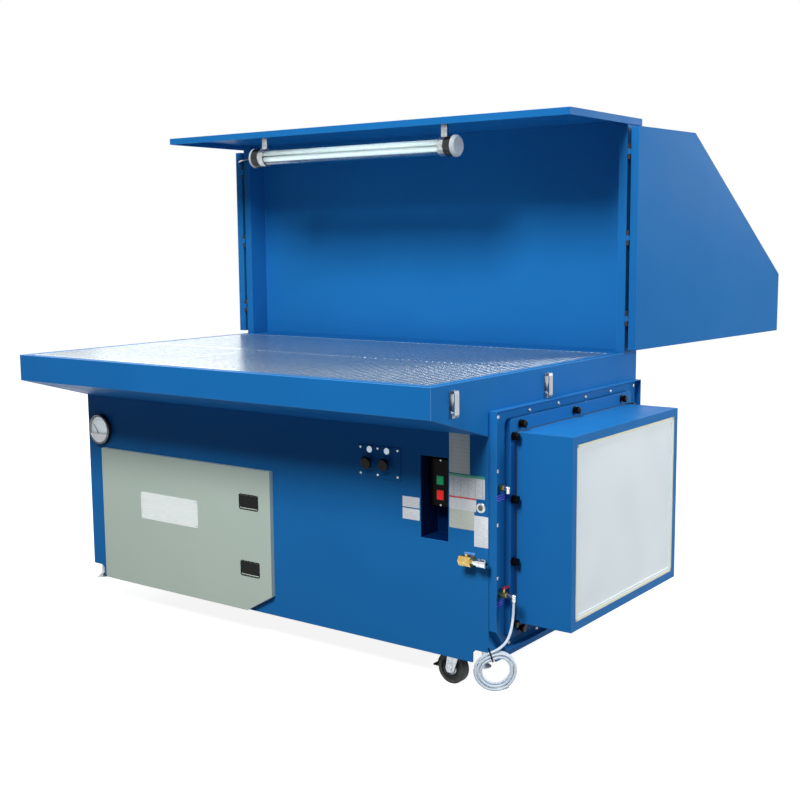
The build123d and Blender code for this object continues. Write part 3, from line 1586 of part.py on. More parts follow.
for side, (x, y) in rear_casters.items():
    rigid = box(
        x - caster_plate_width / 2,
        x + caster_plate_width / 2,
        y - caster_plate_length / 2,
        y + caster_plate_length / 2,
        plate_low,
        floor_height,
    )
    leg_outline = [
        (y - fork_leg_width / 3, axle_z - wheel_hub_radius),
        (y + fork_leg_width / 3, axle_z - wheel_hub_radius),
        (y + fork_leg_width, plate_low),
        (y - fork_leg_width, plate_low),
    ]
    for leg_x in (x - leg_out, x + leg_in):
        rigid += prism_x(leg_outline, leg_x, leg_x + fork_leg)
    rigid += rod_x(x - axle_out, x + axle_out, y, axle_z, axle_radius)
    plates.append(rigid)
    wheel = turned_y(wheel_profile, 0, 0).rotate(Axis.Z, 90)
    nodes["caster_wheel_rear_" + side] = wheel.moved(Pos(x, y, axle_z))
    joints["caster_wheel_rear_" + side + "_spin"] = (x, y, axle_z)
nodes["caster_plates"] = group(plates)

# Filter wall, deck over the fan side and spark baffle
wall_low = floor_height + sheet
deck_z = cabinet_top - deck_drop
filter_wall_x = table_width - fan_side_width
wall = box(
    filter_wall_x, filter_wall_x + sheet, panel_back, table_depth - sheet, wall_low, deck_z + sheet
)
cartridge_ys = (cartridge_front_y, cartridge_front_y + cartridge_spacing)
for y in cartridge_ys:
    wall -= rod_x(
        filter_wall_x - cut_over, filter_wall_x + sheet + cut_over, y, cartridge_height, cartridge_core_radius
    )
deck = box(
    filter_wall_x + sheet, table_width - sheet, panel_back, table_depth - sheet, deck_z, deck_z + sheet
)
wall += deck
baffle_outline = [
    (panel_back, baffle_height),
    (panel_back + baffle_rise, baffle_height + baffle_rise),
    (table_depth - sheet - baffle_rise, baffle_height + baffle_rise),
    (table_depth - sheet, baffle_height),
    (table_depth - sheet, baffle_height - sheet),
    (table_depth - sheet - baffle_rise, baffle_height + baffle_rise - sheet),
    (panel_back + baffle_rise, baffle_height + baffle_rise - sheet),
    (panel_back, baffle_height - sheet),
]
baffle = prism_x(baffle_outline, opening_left, filter_wall_x)
nodes["inner_partitions"] = group([wall, baffle])

# Pleated cartridges, open at the filter wall and closed at the far end
cartridges = []
pleat_inner = cartridge_radius - cartridge_pleat
cartridge_start = filter_wall_x - cartridge_length
for y in cartridge_ys:
    star = []
    for step in range(cartridge_pleats):
        for share, radius in ((0, cartridge_radius - thin_sheet), (1 / 2, pleat_inner)):
            angle = math.tau * (step + share) / cartridge_pleats
            star.append((y + radius * math.cos(angle), cartridge_height + radius * math.sin(angle)))
    media = prism_x(star, cartridge_start, filter_wall_x)
    media += rod_x(cartridge_start, cartridge_start + cartridge_cap, y, cartridge_height, cartridge_radius)
    media += rod_x(filter_wall_x - cartridge_cap, filter_wall_x, y, cartridge_height, cartridge_radius)
    core_start = cartridge_start + cartridge_cap
    media -= rod_x(core_start, filter_wall_x + cut_over, y, cartridge_height, cartridge_core_radius)
    cartridges.append(media)
nodes["filter_cartridges"] = group(cartridges)

# Dust tray on the cabinet floor, with a rolled-out lip
tray_right = filter_wall_x - dust_tray_wall_gap
dust_tray_front = panel_front + dust_tray_front_gap
tray_back = table_depth - dust_tray_rear_gap
tray_low = floor_height + sheet
tray_top = tray_low + dust_tray_height
dust = box(dust_tray_left, tray_right, dust_tray_front, tray_back, tray_low, tray_top)
dust += box(
    dust_tray_left - dust_tray_lip,
    tray_right + dust_tray_lip,
    dust_tray_front - dust_tray_lip,
    tray_back + dust_tray_lip,
    tray_top - thin_sheet,
    tray_top,
)
dust -= box(
    dust_tray_left + thin_sheet,
    tray_right - thin_sheet,
    dust_tray_front + thin_sheet,
    tray_back - thin_sheet,
    tray_low + thin_sheet,
    tray_top + cut_over,
)
nodes["dust_tray"] = dust

# Pulse-air tank with one blow pipe for each cartridge
tank_x = filter_wall_x + tank_wall_gap + tank_radius
tank_height = deck_z - tank_deck_gap - tank_radius
tank_front = (cartridge_ys[0] + cartridge_ys[1]) / 2 - tank_length / 2
tank_rear = tank_front + tank_length
tank_profile = [
    (0, tank_front),
    (tank_radius - tank_cap, tank_front),
    (tank_radius, tank_front + tank_cap),
    (tank_radius, tank_rear - tank_cap),
    (tank_radius - tank_cap, tank_rear),
    (0, tank_rear),
]
tank = turned_y(tank_profile, tank_x, tank_height)
nozzle_x = filter_wall_x + sheet + nozzle_gap
for y in cartridge_ys:
    tank += rod_z(cartridge_height, tank_height, tank_x, y, blow_pipe_radius)
    tank += Pos(tank_x, y, cartridge_height) * Sphere(blow_pipe_radius)
    tank += rod_x(nozzle_x, tank_x, y, cartridge_height, blow_pipe_radius)
    saddle_y = y + blow_pipe_radius * 3
    tank += box(
        filter_wall_x + sheet,
        tank_x,
        saddle_y,
        saddle_y + cartridge_cap,
        tank_height - tank_cap,
        tank_height + tank_cap,
    )
nodes["air_tank"] = tank

# Fan housing: scroll of four widening arcs with a mouth towards the outlet
fan_x = table_width - fan_inset
fan_back = fan_front + fan_width
mouth_x = table_width - sheet - seat_gap
step = fan_scroll_step
arc_1 = CenterArc((0, 0), fan_scroll, 0, -90)
arc_2 = CenterArc((0, step), fan_scroll + step, -90, -90)
arc_3 = CenterArc((step, step), fan_scroll + step * 2, 180, -90)
scroll_top = step + fan_scroll + step * 2
mouth_reach = mouth_x - fan_x
scroll_edges = [
    arc_1,
    arc_2,
    arc_3,
    Line((step, scroll_top), (mouth_reach, scroll_top)),
    Line((mouth_reach, scroll_top), (mouth_reach, scroll_top - fan_mouth_height)),
    Line((mouth_reach, scroll_top - fan_mouth_height), (fan_scroll, scroll_top - fan_mouth_height)),
    Line((fan_scroll, scroll_top - fan_mouth_height), (fan_scroll, 0)),
]
scroll = make_face(Wire(scroll_edges))
scroll_core = offset(scroll, amount=-sheet, kind=Kind.INTERSECTION)
fan_place = Pos(fan_x, fan_height)
housing = extrude(Plane.XZ.offset(-fan_front) * (fan_place * scroll), -fan_width)
housing -= extrude(Plane.XZ.offset(-fan_front - sheet) * (fan_place * scroll_core), -(fan_width - sheet * 2))
housing -= box(
    mouth_x - sheet - cut_over,
    mouth_x + cut_over,
    fan_front + sheet,
    fan_back - sheet,
    fan_height + scroll_top - fan_mouth_height + sheet,
    fan_height + scroll_top - sheet,
)
housing -= rod_y(fan_front - cut_over, fan_front + sheet + cut_over, fan_x, fan_height, fan_inlet_radius)
housing -= rod_y(fan_back - sheet - cut_over, fan_back + cut_over, fan_x, fan_height, shaft_radius + sheet)
for foot_x in (fan_x - fan_scroll / 2, fan_x + fan_scroll / 2):
    housing += box(
        foot_x - stiffener_width / 2,
        foot_x + stiffener_width / 2,
        fan_front,
        fan_front + sheet,
        wall_low,
        fan_height - fan_scroll / 2,
    )
motor_start = fan_back
motor_profile = [
    (0, motor_start),
    (motor_radius - motor_boss, motor_start),
    (motor_radius, motor_start + motor_boss),
    (motor_radius, motor_start + motor_length - motor_boss),
    (motor_radius - motor_boss * 3, motor_start + motor_length),
    (0, motor_start + motor_length),
]
motor = turned_y(motor_profile, fan_x, fan_height)
motor += box(
    fan_x - motor_radius,
    fan_x + motor_radius,
    motor_start + motor_length / 4,
    motor_start + motor_length * 3 / 4,
    wall_low,
    fan_height - motor_radius / 2,
)
impeller_back = fan_back - sheet - impeller_clear
impeller_front = fan_front + sheet + impeller_clear
shaft_end = impeller_back - impeller_hub_radius
motor += rod_y(shaft_end, motor_start, fan_x, fan_height, shaft_radius)
nodes["blower"] = group([housing, motor])

# Fan wheel: backward-curved blades between a back plate and an eye ring
fan_wheel = rod_y(impeller_back - impeller_plate, impeller_back, fan_x, fan_height, impeller_radius)
eye_ring = rod_y(impeller_front, impeller_front + impeller_plate, fan_x, fan_height, impeller_radius)
eye_ring -= rod_y(
    impeller_front - cut_over, impeller_front + impeller_plate + cut_over, fan_x, fan_height, impeller_eye_radius
)
fan_wheel += eye_ring
fan_wheel += rod_y(shaft_end, impeller_back, fan_x, fan_height, impeller_hub_radius)
blade_root = Vector(impeller_eye_radius, 0)
sweep_angle = math.radians(blade_sweep)
blade_tip = Vector(impeller_radius * math.cos(sweep_angle), impeller_radius * math.sin(sweep_angle))
bulge_share = 0.62
bulge_angle = sweep_angle / 2
bulge_radius = impeller_eye_radius + (impeller_radius - impeller_eye_radius) * bulge_share
blade_bulge = Vector(bulge_radius * math.cos(bulge_angle), bulge_radius * math.sin(bulge_angle))
blade_line = ThreePointArc(blade_root, blade_bulge, blade_tip)
blade_face = trace(blade_line, line_width=blade_sheet)
for index in range(blade_count):
    turned_blade = Rot(0, 0, 360 * index / blade_count) * blade_face
    start_plane = Plane.XZ.offset(-(impeller_front + impeller_plate / 2))
    blade_run = impeller_back - impeller_plate / 2 - impeller_front - impeller_plate / 2
    fan_wheel += extrude(start_plane * (fan_place * turned_blade), -blade_run)
fan_wheel &= rod_y(shaft_end, impeller_front, fan_x, fan_height, impeller_radius) + rod_y(
    impeller_front, impeller_back, fan_x, fan_height, impeller_radius
)
fan_wheel -= rod_y(
    shaft_end - cut_over, impeller_back + cut_over, fan_x, fan_height, shaft_radius + running_gap
)
nodes["impeller"] = fan_wheel
joints["impeller_spin"] = (fan_x, impeller_back, fan_height)

# Everything is moved so that the origin lies on the floor under the middle of the table
cord_nodes = ("drain_hose", "drain_hose_coil", "hose_tie")
bounds = Compound([solid for name, shape in nodes.items() if name not in cord_nodes for solid in shape.solids()])
limits = bounds.bounding_box()
shift = Vector(-(limits.min.X + limits.max.X) / 2, -(limits.min.Y + limits.max.Y) / 2, 0)
os.makedirs("parts", exist_ok=True)
for name, shape in nodes.items():
    solids = [solid.moved(Pos(shift.X, shift.Y, 0)) for solid in shape.solids()]
    whole = solids[0] if len(solids) == 1 else Compound(solids)
    export_step(whole, "parts/" + name + ".step")
print("shift", round(shift.X, 4), round(shift.Y, 4), "low", round(limits.min.Z, 4))
print("size", [round(value, 2) for value in (limits.size.X, limits.size.Y, limits.size.Z)])
for name, place in joints.items():
    print("joint", name, [round(value, 4) for value in tuple(Vector(*place) + shift)])
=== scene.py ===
"""Downdraft table: finishes and fine pieces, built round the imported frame.

Sizes in the dataclasses are millimetres. Places are millimetres from the tray's front left corner on the
floor, with X to the right, Y to the back and Z up. Points that Blender gets are metres in the shared frame.
"""
import logging
import math
from dataclasses import dataclass, replace
from enum import Enum
from functools import lru_cache
from typing import Callable, Optional, Sequence, Union

import bmesh
import bpy
from mathutils import Matrix, Vector


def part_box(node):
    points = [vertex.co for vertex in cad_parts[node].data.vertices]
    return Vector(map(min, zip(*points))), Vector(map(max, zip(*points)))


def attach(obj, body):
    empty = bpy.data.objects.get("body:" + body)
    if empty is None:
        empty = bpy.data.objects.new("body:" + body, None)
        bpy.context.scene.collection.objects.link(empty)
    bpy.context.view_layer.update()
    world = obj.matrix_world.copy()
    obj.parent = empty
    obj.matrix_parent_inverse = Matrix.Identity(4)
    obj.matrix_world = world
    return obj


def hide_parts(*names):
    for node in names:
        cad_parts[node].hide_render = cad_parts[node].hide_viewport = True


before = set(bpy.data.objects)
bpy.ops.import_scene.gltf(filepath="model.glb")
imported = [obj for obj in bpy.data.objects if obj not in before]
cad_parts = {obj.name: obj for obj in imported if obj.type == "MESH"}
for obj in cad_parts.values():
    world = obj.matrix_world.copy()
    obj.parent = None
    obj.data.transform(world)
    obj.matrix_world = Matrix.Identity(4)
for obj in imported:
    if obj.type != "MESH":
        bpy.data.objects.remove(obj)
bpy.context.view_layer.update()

MM = 0.001
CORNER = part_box("tray_shell")[0]
LOG = logging.getLogger("downdraft_table")
SCREW_SIDES = 20
SMALL_SIDES = 28
DIAL_SIDES = 64
EDGE_SAMPLES = 6
Value = Union[float, tuple, Vector, bpy.types.NodeSocket]
Place = tuple[float, float, float]


class Body(str, Enum):
    """Bodies of the frame that new pieces ride on."""

    TABLE = "table"
    DOOR = "door"
    WHEEL_FRONT_LEFT = "caster_wheel_front_left"
    WHEEL_FRONT_RIGHT = "caster_wheel_front_right"
    WHEEL_REAR_LEFT = "caster_wheel_rear_left"
    WHEEL_REAR_RIGHT = "caster_wheel_rear_right"


class Slot(str, Enum):
    """Material slots of the record, named for new pieces."""

    STAINLESS = "stainless"
    ZINC = "zinc"
    BLACK = "black_plastic"
    CLEAR = "clear_tube"
    HOSE = "hose"
    RUBBER = "rubber"


class Facing(Enum):
    """Ways that the outer side of a piece can look."""

    FRONT = (0.0, -1.0, 0.0)
    BACK = (0.0, 1.0, 0.0)
    LEFT = (-1.0, 0.0, 0.0)
    RIGHT = (1.0, 0.0, 0.0)


def at(x: float, y: float, z: float) -> Vector:
    """Turns a place on the table to a point of the shared frame.

    Args:
        x: millimetres from the tray's left side.
        y: millimetres from the tray's front.
        z: millimetres from the floor.

    Returns:
        The point in metres.
    """
    return Vector((CORNER.x + x * MM, CORNER.y + y * MM, z * MM))


def linear(colour: str) -> tuple[float, float, float, float]:
    """Turns an sRGB hex colour to linear values.

    Args:
        colour: a hex value such as #2276C6.

    Returns:
        Linear red, green, blue, and an alpha of one.
    """
    shares = [int(colour[place:place + 2], 16) / 255 for place in (1, 3, 5)]
    red, green, blue = (s / 12.92 if s <= 0.04045 else ((s + 0.055) / 1.055) ** 2.4 for s in shares)
    return red, green, blue, 1.0


def add_node(
    tree: bpy.types.NodeTree, kind: str, inputs: Optional[dict[Union[str, int], Value]] = None, **settings: object
) -> bpy.types.Node:
    """Adds a node with its settings and inputs.

    Args:
        tree: the node tree that gets the node.
        kind: the node's type.
        inputs: a value, or a socket to link, for each input that is set.
        settings: the node's own properties.

    Returns:
        The new node.
    """
    node = tree.nodes.new(kind)
    for name, value in settings.items():
        setattr(node, name, value)
    for name, value in (inputs or {}).items():
        if isinstance(value, bpy.types.NodeSocket):
            tree.links.new(value, node.inputs[name])
        else:
            node.inputs[name].default_value = value
    return node


@dataclass
class Look:
    """What a finish gives its shader: colour, metal and roughness, and the height of its relief.

    The depth of the relief is in millimetres, its strength is how much of it shows, and it lies on the edge
    normal, if there is one.
    """

    colour: Value
    metallic: Value
    roughness: Value
    height: Optional[bpy.types.NodeSocket] = None
    depth: float = 0.0
    strength: float = 0.0
    edge: Optional[bpy.types.NodeSocket] = None


MIX_FLOAT = (0, 2, 3, 0)
MIX_COLOUR = (0, 6, 7, 2)


def layered(
    tree: bpy.types.NodeTree, base: Value, layers: Sequence[tuple[Value, Value]], is_colour: bool
) -> Value:
    """Lays values of a surface over each other.

    Args:
        tree: the material's node tree.
        base: the value under the layers.
        layers: for each layer how much of it shows, from 0 to 1, and its value.
        is_colour: whether the values are colours.

    Returns:
        What shows on top. A layer that equals the number below it adds nothing.
    """
    factor, first, second, out = MIX_COLOUR if is_colour else MIX_FLOAT
    kind = "RGBA" if is_colour else "FLOAT"
    for share, value in layers:
        if is_colour or base != value:
            node = add_node(tree, "ShaderNodeMix", {factor: share, first: base, second: value}, data_type=kind)
            base = node.outputs[out]
    return base


def patches(
    tree: bpy.types.NodeTree, size: float, low: float = 0.0, high: float = 1.0, detail: float = 2.0,
    drawn: Place = (1.0, 1.0, 1.0),
) -> bpy.types.NodeSocket:
    """Soft patches that vary a value over a surface.

    Args:
        tree: the material's node tree.
        size: how wide a patch is, in millimetres.
        low: the value in the darkest patch.
        high: the value in the lightest patch.
        detail: how much finer structure the patches have.
        drawn: how many times longer a patch is drawn along each axis.

    Returns:
        The varying value.
    """
    place = add_node(tree, "ShaderNodeTexCoord").outputs["Object"]
    scale = tuple(1 / (size * MM * times) for times in drawn)
    sized = add_node(tree, "ShaderNodeMapping", {"Vector": place, "Scale": scale})
    noise = add_node(
        tree, "ShaderNodeTexNoise", {"Vector": sized.outputs["Vector"], "Scale": 1.0, "Detail": detail}
    )
    ranged = add_node(
        tree, "ShaderNodeMapRange",
        {"Value": noise.outputs["Fac"], "From Min": 0.3, "From Max": 0.7, "To Min": low, "To Max": high},
    )
    return ranged.outputs["Result"]


@dataclass(frozen=True)
class Finish:
    """A surface finish: its name, for the material and how it was made, and its main colour."""

    name: str
    colour: str

    def look(self, tree: bpy.types.NodeTree) -> Look:
        """Adds the finish's pattern nodes.

        Args:
            tree: the material's node tree.

        Returns:
            The values for the shader.
        """
        raise NotImplementedError

    def fixed(self) -> dict[Union[str, int], Value]:
        """Gives the shader values that are the same all over the surface."""
        return {}

    @lru_cache(maxsize=None)
    def material(self) -> bpy.types.Material:
        """Makes the material once, and gives the same one after that."""
        made = bpy.data.materials.new(self.name)
        made.use_nodes = True
        made.diffuse_color = linear(self.colour)
        tree = made.node_tree
        tree.nodes.clear()
        look = self.look(tree)
        inputs = {"Base Color": look.colour, "Metallic": look.metallic, "Roughness": look.roughness, **self.fixed()}
        if look.height is not None:
            bump = {"Height": look.height, "Distance": look.depth * MM, "Strength": look.strength}
            if look.edge is not None:
                bump["Normal"] = look.edge
            inputs["Normal"] = add_node(tree, "ShaderNodeBump", bump).outputs["Normal"]
        shader = add_node(tree, "ShaderNodeBsdfPrincipled", inputs)
        add_node(tree, "ShaderNodeOutputMaterial", {"Surface": shader.outputs["BSDF"]})
        return made


@dataclass(frozen=True)
class PowderCoat(Finish):
    """Baked powder on folded sheet: an even colour with fine orange peel, painted paler on edges as a highlight."""

    clouded: str
    # edge: the paler colour painted on edges as a highlight
    edge: str
    roughness: float = 0.4
    edge_radius: float = 1.8
    peel: float = 9.0
    shine: float = 0.05
    cloud: float = 420.0
    handled: float = 120.0
    peel_depth: float = 0.15

    def fixed(self) -> dict[Union[str, int], Value]:
        """Gives the satin shine of the baked coat."""
        return {"Specular IOR Level": self.shine}

    def look(self, tree: bpy.types.NodeTree) -> Look:
        """Adds clouding, handling marks, a painted highlight on edges and orange peel.

        Args:
            tree: the material's node tree.

        Returns:
            The values for the shader.
        """
        # Orange peel is about 1 mm across on the real coat and is drawn coarser, so that it shows
        bevel = add_node(tree, "ShaderNodeBevel", {"Radius": self.edge_radius * MM}, samples=EDGE_SAMPLES)
        rounded = bevel.outputs["Normal"]
        plain = add_node(tree, "ShaderNodeNewGeometry").outputs["Normal"]
        turn = add_node(tree, "ShaderNodeVectorMath", {0: rounded, 1: plain}, operation="DOT_PRODUCT")
        # Painted highlight: the colour turns paler where the rounded edge normal leaves the flat one
        worn = add_node(
            tree, "ShaderNodeMapRange",
            {"Value": turn.outputs["Value"], "From Min": 0.995, "From Max": 0.8, "To Min": 0.0, "To Max": 0.75},
        )
        layers = ((patches(tree, self.cloud), linear(self.clouded)), (worn.outputs["Result"], linear(self.edge)))
        colour = layered(tree, linear(self.colour), layers, True)
        roughness = patches(tree, self.handled, self.roughness - 0.05, self.roughness + 0.07, 4.0)
        peel = patches(tree, self.peel, detail=0.0)
        return Look(colour, 0.0, roughness, peel, self.peel_depth, 0.08, rounded)


@dataclass(frozen=True)
class GalvanisedSheet(Finish):
    """Hot-dip galvanised sheet: bright spangles under a thin pale oxide, dulled in streaks by use."""

    colour: str = "#E4EFF1"
    dull: str = "#CFDDE2"
    spangle: float = 16.0
    smooth: float = 0.2
    rough: float = 0.26
    bare: float = 0.93
    edge_radius: float = 0.0
    streak: float = 60.0
    wear: float = 90.0
    dent: float = 140.0

    def look(self, tree: bpy.types.NodeTree) -> Look:
        """Adds spangles, streaks, shallow dents and the rolled edges of cut slots.

        Args:
            tree: the material's node tree.

        Returns:
            The values for the shader.
        """
        place = add_node(tree, "ShaderNodeTexCoord").outputs["Object"]
        cells = add_node(
            tree, "ShaderNodeTexVoronoi", {"Vector": place, "Scale": 1 / (self.spangle * MM), "Randomness": 1.0}
        )
        tone = add_node(tree, "ShaderNodeSeparateColor", {"Color": cells.outputs["Color"]}).outputs["Red"]
        streaks = patches(tree, self.streak, high=0.4, detail=3.0, drawn=(1.0, 5.0, 1.0))
        dull = linear(self.dull)
        colour = layered(tree, linear(self.colour), ((tone, dull), (streaks, dull)), True)
        worn = patches(tree, self.wear, high=0.5, detail=1.0, drawn=(3.0, 1.0, 1.0))
        roughness = layered(tree, self.smooth, ((tone, self.rough), (worn, self.rough)), False)
        rolled = None
        if self.edge_radius:
            bevel = add_node(tree, "ShaderNodeBevel", {"Radius": self.edge_radius * MM}, samples=EDGE_SAMPLES)
            rolled = bevel.outputs["Normal"]
        return Look(colour, self.bare, roughness, patches(tree, self.dent, detail=0.0), 0.3, 0.15, rolled)


@dataclass(frozen=True)
class BrushedSteel(Finish):
    """Ground and brushed stainless steel: fine lines along one axis."""

    colour: str = "#B9BDBF"
    streak: str = "#858A8D"
    roughness: float = 0.26
    line: float = 0.8
    drawn: Place = (1.0, 1.0, 40.0)

    def look(self, tree: bpy.types.NodeTree) -> Look:
        """Adds the brush lines.

        Args:
            tree: the material's node tree.

        Returns:
            The values for the shader.
        """
        lines = patches(tree, self.line, 0.0, 0.6, 3.0, self.drawn)
        colour = layered(tree, linear(self.colour), ((lines, linear(self.streak)),), True)
        roughness = patches(tree, 12.0, self.roughness - 0.06, self.roughness + 0.1, 3.0, self.drawn)
        return Look(colour, 1.0, roughness, lines, 0.04, 0.2)


@dataclass(frozen=True)
class PlatedMetal(Finish):
    """Plated or cast metal, such as bright zinc, chrome or brass: a clean metal with a few dull patches."""

    dull: str
    roughness: float
    patch: float = 9.0

    def look(self, tree: bpy.types.NodeTree) -> Look:
        """Adds dull patches and a slight waviness.

        Args:
            tree: the material's node tree.

        Returns:
            The values for the shader.
        """
        dulled = patches(tree, self.patch, 0.0, 0.8, 4.0)
        colour = layered(tree, linear(self.colour), ((dulled, linear(self.dull)),), True)
        roughness = patches(tree, self.patch / 2, self.roughness * 0.7, self.roughness * 1.6, 4.0)
        waves = patches(tree, self.patch / 3, 0.0, 1.0)
        return Look(colour, 1.0, roughness, waves, 0.05, 0.15)


@dataclass(frozen=True)
class MouldedPlastic(Finish):
    """Injection-moulded plastic: an even colour with a fine spark-eroded grain."""

    worn: str
    roughness: float = 0.4
    grain: float = 1.2
    shine: float = 0.5
    glow: float = 0.0

    def fixed(self) -> dict[Union[str, int], Value]:
        """Gives the plastic's shine, the light of a lit lens, and the painted glow of a button."""
        lit = {"Emission Color": linear(self.colour), "Emission Strength": self.glow}
        return {"Specular IOR Level": self.shine, **lit}

    def look(self, tree: bpy.types.NodeTree) -> Look:
        """Adds the grain and faint scuffs.

        Args:
            tree: the material's node tree.

        Returns:
            The values for the shader.
        """
        scuffs = patches(tree, 14.0, 0.0, 0.35, 5.0)
        colour = layered(tree, linear(self.colour), ((scuffs, linear(self.worn)),), True)
        roughness = patches(tree, 10.0, self.roughness - 0.06, self.roughness + 0.12, 3.0)
        grain = patches(tree, self.grain, 0.0, 1.0, 2.0)
        return Look(colour, 0.0, roughness, grain, 0.06, 0.3)


@dataclass(frozen=True)
class Rubber(Finish):
    """Moulded rubber: near black and dull, greyed by floor dust."""

    colour: str = "#17181A"
    dust: str = "#4B4C4B"

    def look(self, tree: bpy.types.NodeTree) -> Look:
        """Adds dust and a fine moulded texture.

        Args:
            tree: the material's node tree.

        Returns:
            The values for the shader.
        """
        dust = patches(tree, 18.0, 0.0, 0.45, 6.0)
        colour = layered(tree, linear(self.colour), ((dust, linear(self.dust)),), True)
        grain = patches(tree, 1.6, 0.0, 1.0, 3.0)
        return Look(colour, 0.0, patches(tree, 11.0, 0.6, 0.85), grain, 0.1, 0.4)


@dataclass(frozen=True)
class ClearPlastic(Finish):
    """Clear extruded plastic, such as acrylic or soft PVC: it carries light and is slightly wavy."""

    haze: str
    roughness: float
    clear: float
    ior: float

    def fixed(self) -> dict[Union[str, int], Value]:
        """Gives how much light passes and how it bends."""
        return {"Transmission Weight": self.clear, "IOR": self.ior}

    def look(self, tree: bpy.types.NodeTree) -> Look:
        """Adds haze and a slight waviness.

        Args:
            tree: the material's node tree.

        Returns:
            The values for the shader.
        """
        haze = patches(tree, 30.0, 0.0, 0.7, 3.0)
        colour = layered(tree, linear(self.colour), ((haze, linear(self.haze)),), True)
        roughness = patches(tree, 8.0, self.roughness * 0.6, self.roughness * 1.5)
        waves = patches(tree, 60.0, 0.0, 1.0, 0.0)
        return Look(colour, 0.0, roughness, waves, 0.1, 0.05)


@dataclass(frozen=True)
class FibreMedia(Finish):
    """White nonwoven filter fibre: matt, soft and slightly uneven in tone."""

    colour: str = "#EDF6F9"
    shade: str = "#E4EFF3"
    fibre: float = 4.0

    def fixed(self) -> dict[Union[str, int], Value]:
        """Gives the soft edge that loose fibre has."""
        return {"Sheen Weight": 0.15, "Sheen Roughness": 0.5}

    def look(self, tree: bpy.types.NodeTree) -> Look:
        """Adds fibre and soft dents.

        Args:
            tree: the material's node tree.

        Returns:
            The values for the shader.
        """
        # Fibres are hair-thin and are drawn a few millimetres long, so that they show
        tone = patches(tree, 260.0, 0.0, 1.0, 1.0)
        colour = layered(tree, linear(self.colour), ((tone, linear(self.shade)),), True)
        fibre = patches(tree, self.fibre, 0.0, 1.0, 3.0, (1.0, 1.0, 3.0))
        return Look(colour, 0.0, patches(tree, 40.0, 0.75, 0.95), fibre, 0.1, 0.2)


@dataclass(frozen=True)
class RuledCard(Finish):
    """Coated card with ruled grey lines and no lettering."""

    ink: str
    pitch: float = 5.0
    inked: float = 0.45
    column: float = 0.0

    def look(self, tree: bpy.types.NodeTree) -> Look:
        """Adds the ruled lines.

        Args:
            tree: the material's node tree.

        Returns:
            The values for the shader.
        """
        place = add_node(tree, "ShaderNodeTexCoord").outputs["Object"]
        axes = add_node(tree, "ShaderNodeSeparateXYZ", {"Vector": place})
        lines = []
        for axis, pitch, thick in (("Z", self.pitch, 0.4), ("X", self.column, 0.06)):
            if pitch:
                half = pitch * MM / 2
                away = add_node(tree, "ShaderNodeMath", {0: axes.outputs[axis], 1: half}, operation="PINGPONG")
                inputs = {0: away.outputs[0], 1: half * thick}
                lines.append(add_node(tree, "ShaderNodeMath", inputs, operation="LESS_THAN").outputs[0])
        lengths = patches(tree, 7.0, 0.0, self.inked, 1.0, (1.0, 1.0, 0.3))
        printed = add_node(tree, "ShaderNodeMath", {0: lines[0], 1: lengths}, operation="MULTIPLY").outputs[0]
        if self.column:
            edges = add_node(tree, "ShaderNodeMath", {0: lines[1], 1: self.inked}, operation="MULTIPLY").outputs[0]
            printed = add_node(tree, "ShaderNodeMath", {0: printed, 1: edges}, operation="MAXIMUM").outputs[0]
        colour = layered(tree, linear(self.colour), ((printed, linear(self.ink)),), True)
        return Look(colour, 0.0, patches(tree, 20.0, 0.35, 0.5))


@dataclass(frozen=True)
class OpalGlass(Finish):
    """Coated lamp glass: milky white, faintly lit."""

    colour: str = "#F4FBFC"
    glow: float = 0.35
    uneven: str = "#DDEAEE"

    def fixed(self) -> dict[Union[str, int], Value]:
        """Gives the lamp's faint light."""
        return {"Emission Color": linear(self.colour), "Emission Strength": self.glow}

    def look(self, tree: bpy.types.NodeTree) -> Look:
        """Adds the coating's slight unevenness.

        Args:
            tree: the material's node tree.

        Returns:
            The values for the shader.
        """
        coating = patches(tree, 25.0, 0.0, 0.3)
        colour = layered(tree, linear(self.colour), ((coating, linear(self.uneven)),), True)
        return Look(colour, 0.0, patches(tree, 15.0, 0.12, 0.22))


@dataclass(frozen=True)
class Inlaid(Finish):
    """One finish with another in a box-shaped part of it, for a node that holds two materials."""

    base: Finish
    inlay: Finish
    low: Place
    high: Place

    def fixed(self) -> dict[Union[str, int], Value]:
        """Gives the base's fixed values."""
        return self.base.fixed()

    def look(self, tree: bpy.types.NodeTree) -> Look:
        """Blends the two finishes by place.

        Args:
            tree: the material's node tree.

        Returns:
            The values for the shader.
        """
        first = self.base.look(tree)
        second = self.inlay.look(tree)
        low, high = at(*self.low), at(*self.high)
        half = (high - low) / 2
        place = add_node(tree, "ShaderNodeTexCoord").outputs["Object"]
        away = add_node(tree, "ShaderNodeVectorMath", {0: place, 1: (low + high) / 2}, operation="SUBTRACT")
        size = add_node(tree, "ShaderNodeVectorMath", {0: away.outputs[0]}, operation="ABSOLUTE")
        over = add_node(tree, "ShaderNodeVectorMath", {0: size.outputs[0], 1: half}, operation="SUBTRACT")
        parts = add_node(tree, "ShaderNodeSeparateXYZ", {"Vector": over.outputs[0]})
        most = add_node(tree, "ShaderNodeMath", {0: parts.outputs[0], 1: parts.outputs[1]}, operation="MAXIMUM")
        outside = add_node(tree, "ShaderNodeMath", {0: most.outputs[0], 1: parts.outputs[2]}, operation="MAXIMUM")
        share = add_node(tree, "ShaderNodeMath", {0: outside.outputs[0], 1: 0.0}, operation="LESS_THAN").outputs[0]
        return replace(
            first,
            colour=layered(tree, first.colour, ((share, second.colour),), True),
            metallic=layered(tree, first.metallic, ((share, second.metallic),), False),
            roughness=layered(tree, first.roughness, ((share, second.roughness),), False),
        )


